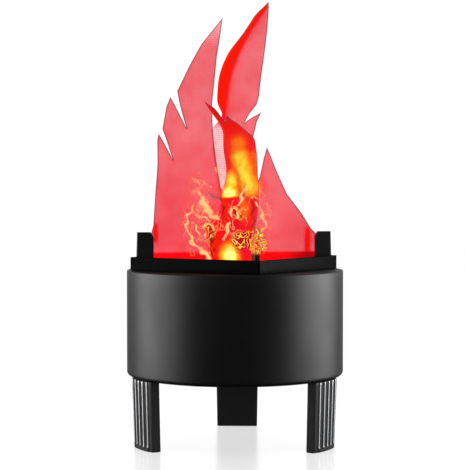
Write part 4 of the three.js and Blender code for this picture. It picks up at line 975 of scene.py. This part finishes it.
# Collar and posts: the lamps' glow is painted on the collar's inner walls and on the front post's face.
# The sizes are in metres here, because only materials read them.
collar = {key: size * millimetre for key, size in {
    "innerHalf": 77.9, "wellHalf": 75.0, "stepLow": 185.9, "stepHigh": 186.1, "low": 150.0, "rim": 197.5,
    "top": 198.0, "dimStart": 50.0, "dimEnd": 80.0, "postDark": 203.0, "postLit": 207.0,
}.items()}


# Moulded ABS in deep black from a polished tool: dark, with small soft reflections
def deepBlackAbs(name, dark, light, gloss, **sockets):
    material, add, shader, place = newMaterial(name, **sockets)
    grain = add("TexNoise", place, {"Scale": perMm(1.0), "Detail": 3})
    haze = add("TexNoise", place, {"Scale": perMm(14), "Detail": 2})
    dressSurface(add, shader, haze, [(0.3, dark), (0.7, light)], gloss, grain, 0.08, 0.04)
    return material, add, shader, place, haze


# That black on the collar, whose inner faces carry the lamps' red as a painted glow, stronger higher up and
# dimmer towards the right. They are nearer to the axis, square to a side, than a half width that narrows
# below a step.
def glowingCollarAbs():
    material, add, shader, place, haze = deepBlackAbs(
        "glowingCollarAbs", "#020203", "#040405", (0.18, 0.26), IOR=1.024, emissionColor=linear("#ff0306"))
    turned = add("Mapping", place, {"Rotation": (0, 0, math.pi / 4 - collarTurn)})
    turned = add("VectorMath", turned, operation="ABSOLUTE")
    turned = add("SeparateXYZ", turned).outputs
    out = add("Math", turned["X"], turned["Y"], operation="MAXIMUM")
    across = add("SeparateXYZ", place).outputs
    wall = add("MapRange", across["Z"], collar["stepLow"], collar["stepHigh"], collar["wellHalf"],
               collar["innerHalf"])
    inside = add("Math", out, wall, operation="LESS_THAN")
    below = add("Math", across["Z"], collar["rim"], operation="LESS_THAN")
    up = add("MapRange", across["Z"], collar["low"], collar["top"], 0.4)
    dim = add("MapRange", across["X"], collar["dimStart"], collar["dimEnd"], 1.0, 0.2)
    strength = add("MapRange", haze, 0.3, 0.7, 0.75, 1.0)
    for factor in (inside, below, up, dim):
        strength = add("Math", strength, factor, operation="MULTIPLY")
    fill(shader, {"Emission Strength": strength})
    return material


# The same black on the posts. The front one, in the brightest light, carries the lamps' light painted on it
# as flame-coloured curls over red above the collar's rim.
def jetBlackAbs(name, curled):
    material, add, shader, place, _ = deepBlackAbs(name, "#040405", "#070708", (0.3, 0.4), IOR=1.2)
    if curled:
        swirl = add("TexNoise", place, {"Scale": perMm(6), "Detail": 3, "Distortion": 1.2})
        centred = add("Math", swirl, 0.5, operation="SUBTRACT")
        flame = add("ValToRGB", contourLines(add, centred, 0.08, 0.95, 0.05), stops=flameStops)
        height = add("SeparateXYZ", place).outputs["Z"]
        lit = add("MapRange", height, collar["postDark"], collar["postLit"], 0, 0.85)
        fill(shader, {"Emission Color": flame, "Emission Strength": lit})
    return material


dressNodes(glowingCollarAbs(), "flame_collar")
dressNodes(jetBlackAbs("jetBlackPostAbs", False), "post_right", "post_rear", "post_left")
dressNodes(jetBlackAbs("flameLitPostAbs", True), "post_front")
print("collar and posts dressed")


# Carried-over CAD nodes: each row has a material's name, its two colours, its roughness, the size of
# its scratches or blotches in millimetres, and its nodes, under a note on what that gives the eye
metals = [
    # pale, cool and bright
    ("zincPlatedSteel", "#c3c5c7", "#9fa2a6", 0.3, 1.5,
     ["fan_guard"] + [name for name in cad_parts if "_screw_" in name]),
    # mid grey and half dull
    ("laminatedSteel", "#9a9c9f", "#7d7f83", 0.4, 0.8, ["fan_shaft", "fan_stator"]),
    # warm and finely speckled
    ("sinteredBronze", "#9a7648", "#735430", 0.5, 0.5, ["fan_bearing"]),
]
plastics = [
    # charcoal and chalky
    ("bondedFerrite", "#414143", "#353537", 0.7, 1.2, ["fan_magnet"]),
    # deep green lacquer, and a warm white one
    ("greenSolderMask", "#1f6238", "#185230", 0.4, 4.0, ["fan_circuit_board", "driver_board"]),
    ("whiteSolderMask", "#efeeea", "#e4e3de", 0.45, 4.0, ["led_board"]),
    # smooth yellow film, and a tight glossy sleeve
    ("yellowPolyesterTape", "#dcb83e", "#c9a52f", 0.35, 5.0, ["transformer"]),
    ("blueShrinkSleeve", "#24365a", "#1d2c4b", 0.3, 6.0, ["capacitor"]),
    # waxy and half matt
    ("greenMouldedNylon", "#2f8450", "#277045", 0.5, 3.0, ["terminal_block"]),
    # soft and rubbery
    ("blackExtrudedPvc", "#1b1b1c", "#141415", 0.5, 3.0,
     ["wire_inlet_switch", "wire_switch_driver", "wire_fan"]),
    ("redExtrudedPvc", "#a5231d", "#8d1c18", 0.5, 3.0, ["wire_leds"]),
]
for *look, names in metals:
    dressNodes(workedMetal(*look), *names)
for *look, names in plastics:
    dressNodes(blotchedPlastic(*look), *names)
dressNodes(glossBlackAbs(), "power_inlet", "switch_housing", "switch_rocker")
dressNodes(filledNylonBlack(), "base_plate", "fan_frame", "fan_rotor")
dressNodes(warmEpoxyLens(), "led_lens_1", "led_lens_2", "led_lens_3", "led_lens_4")
print("carried-over pieces dressed")
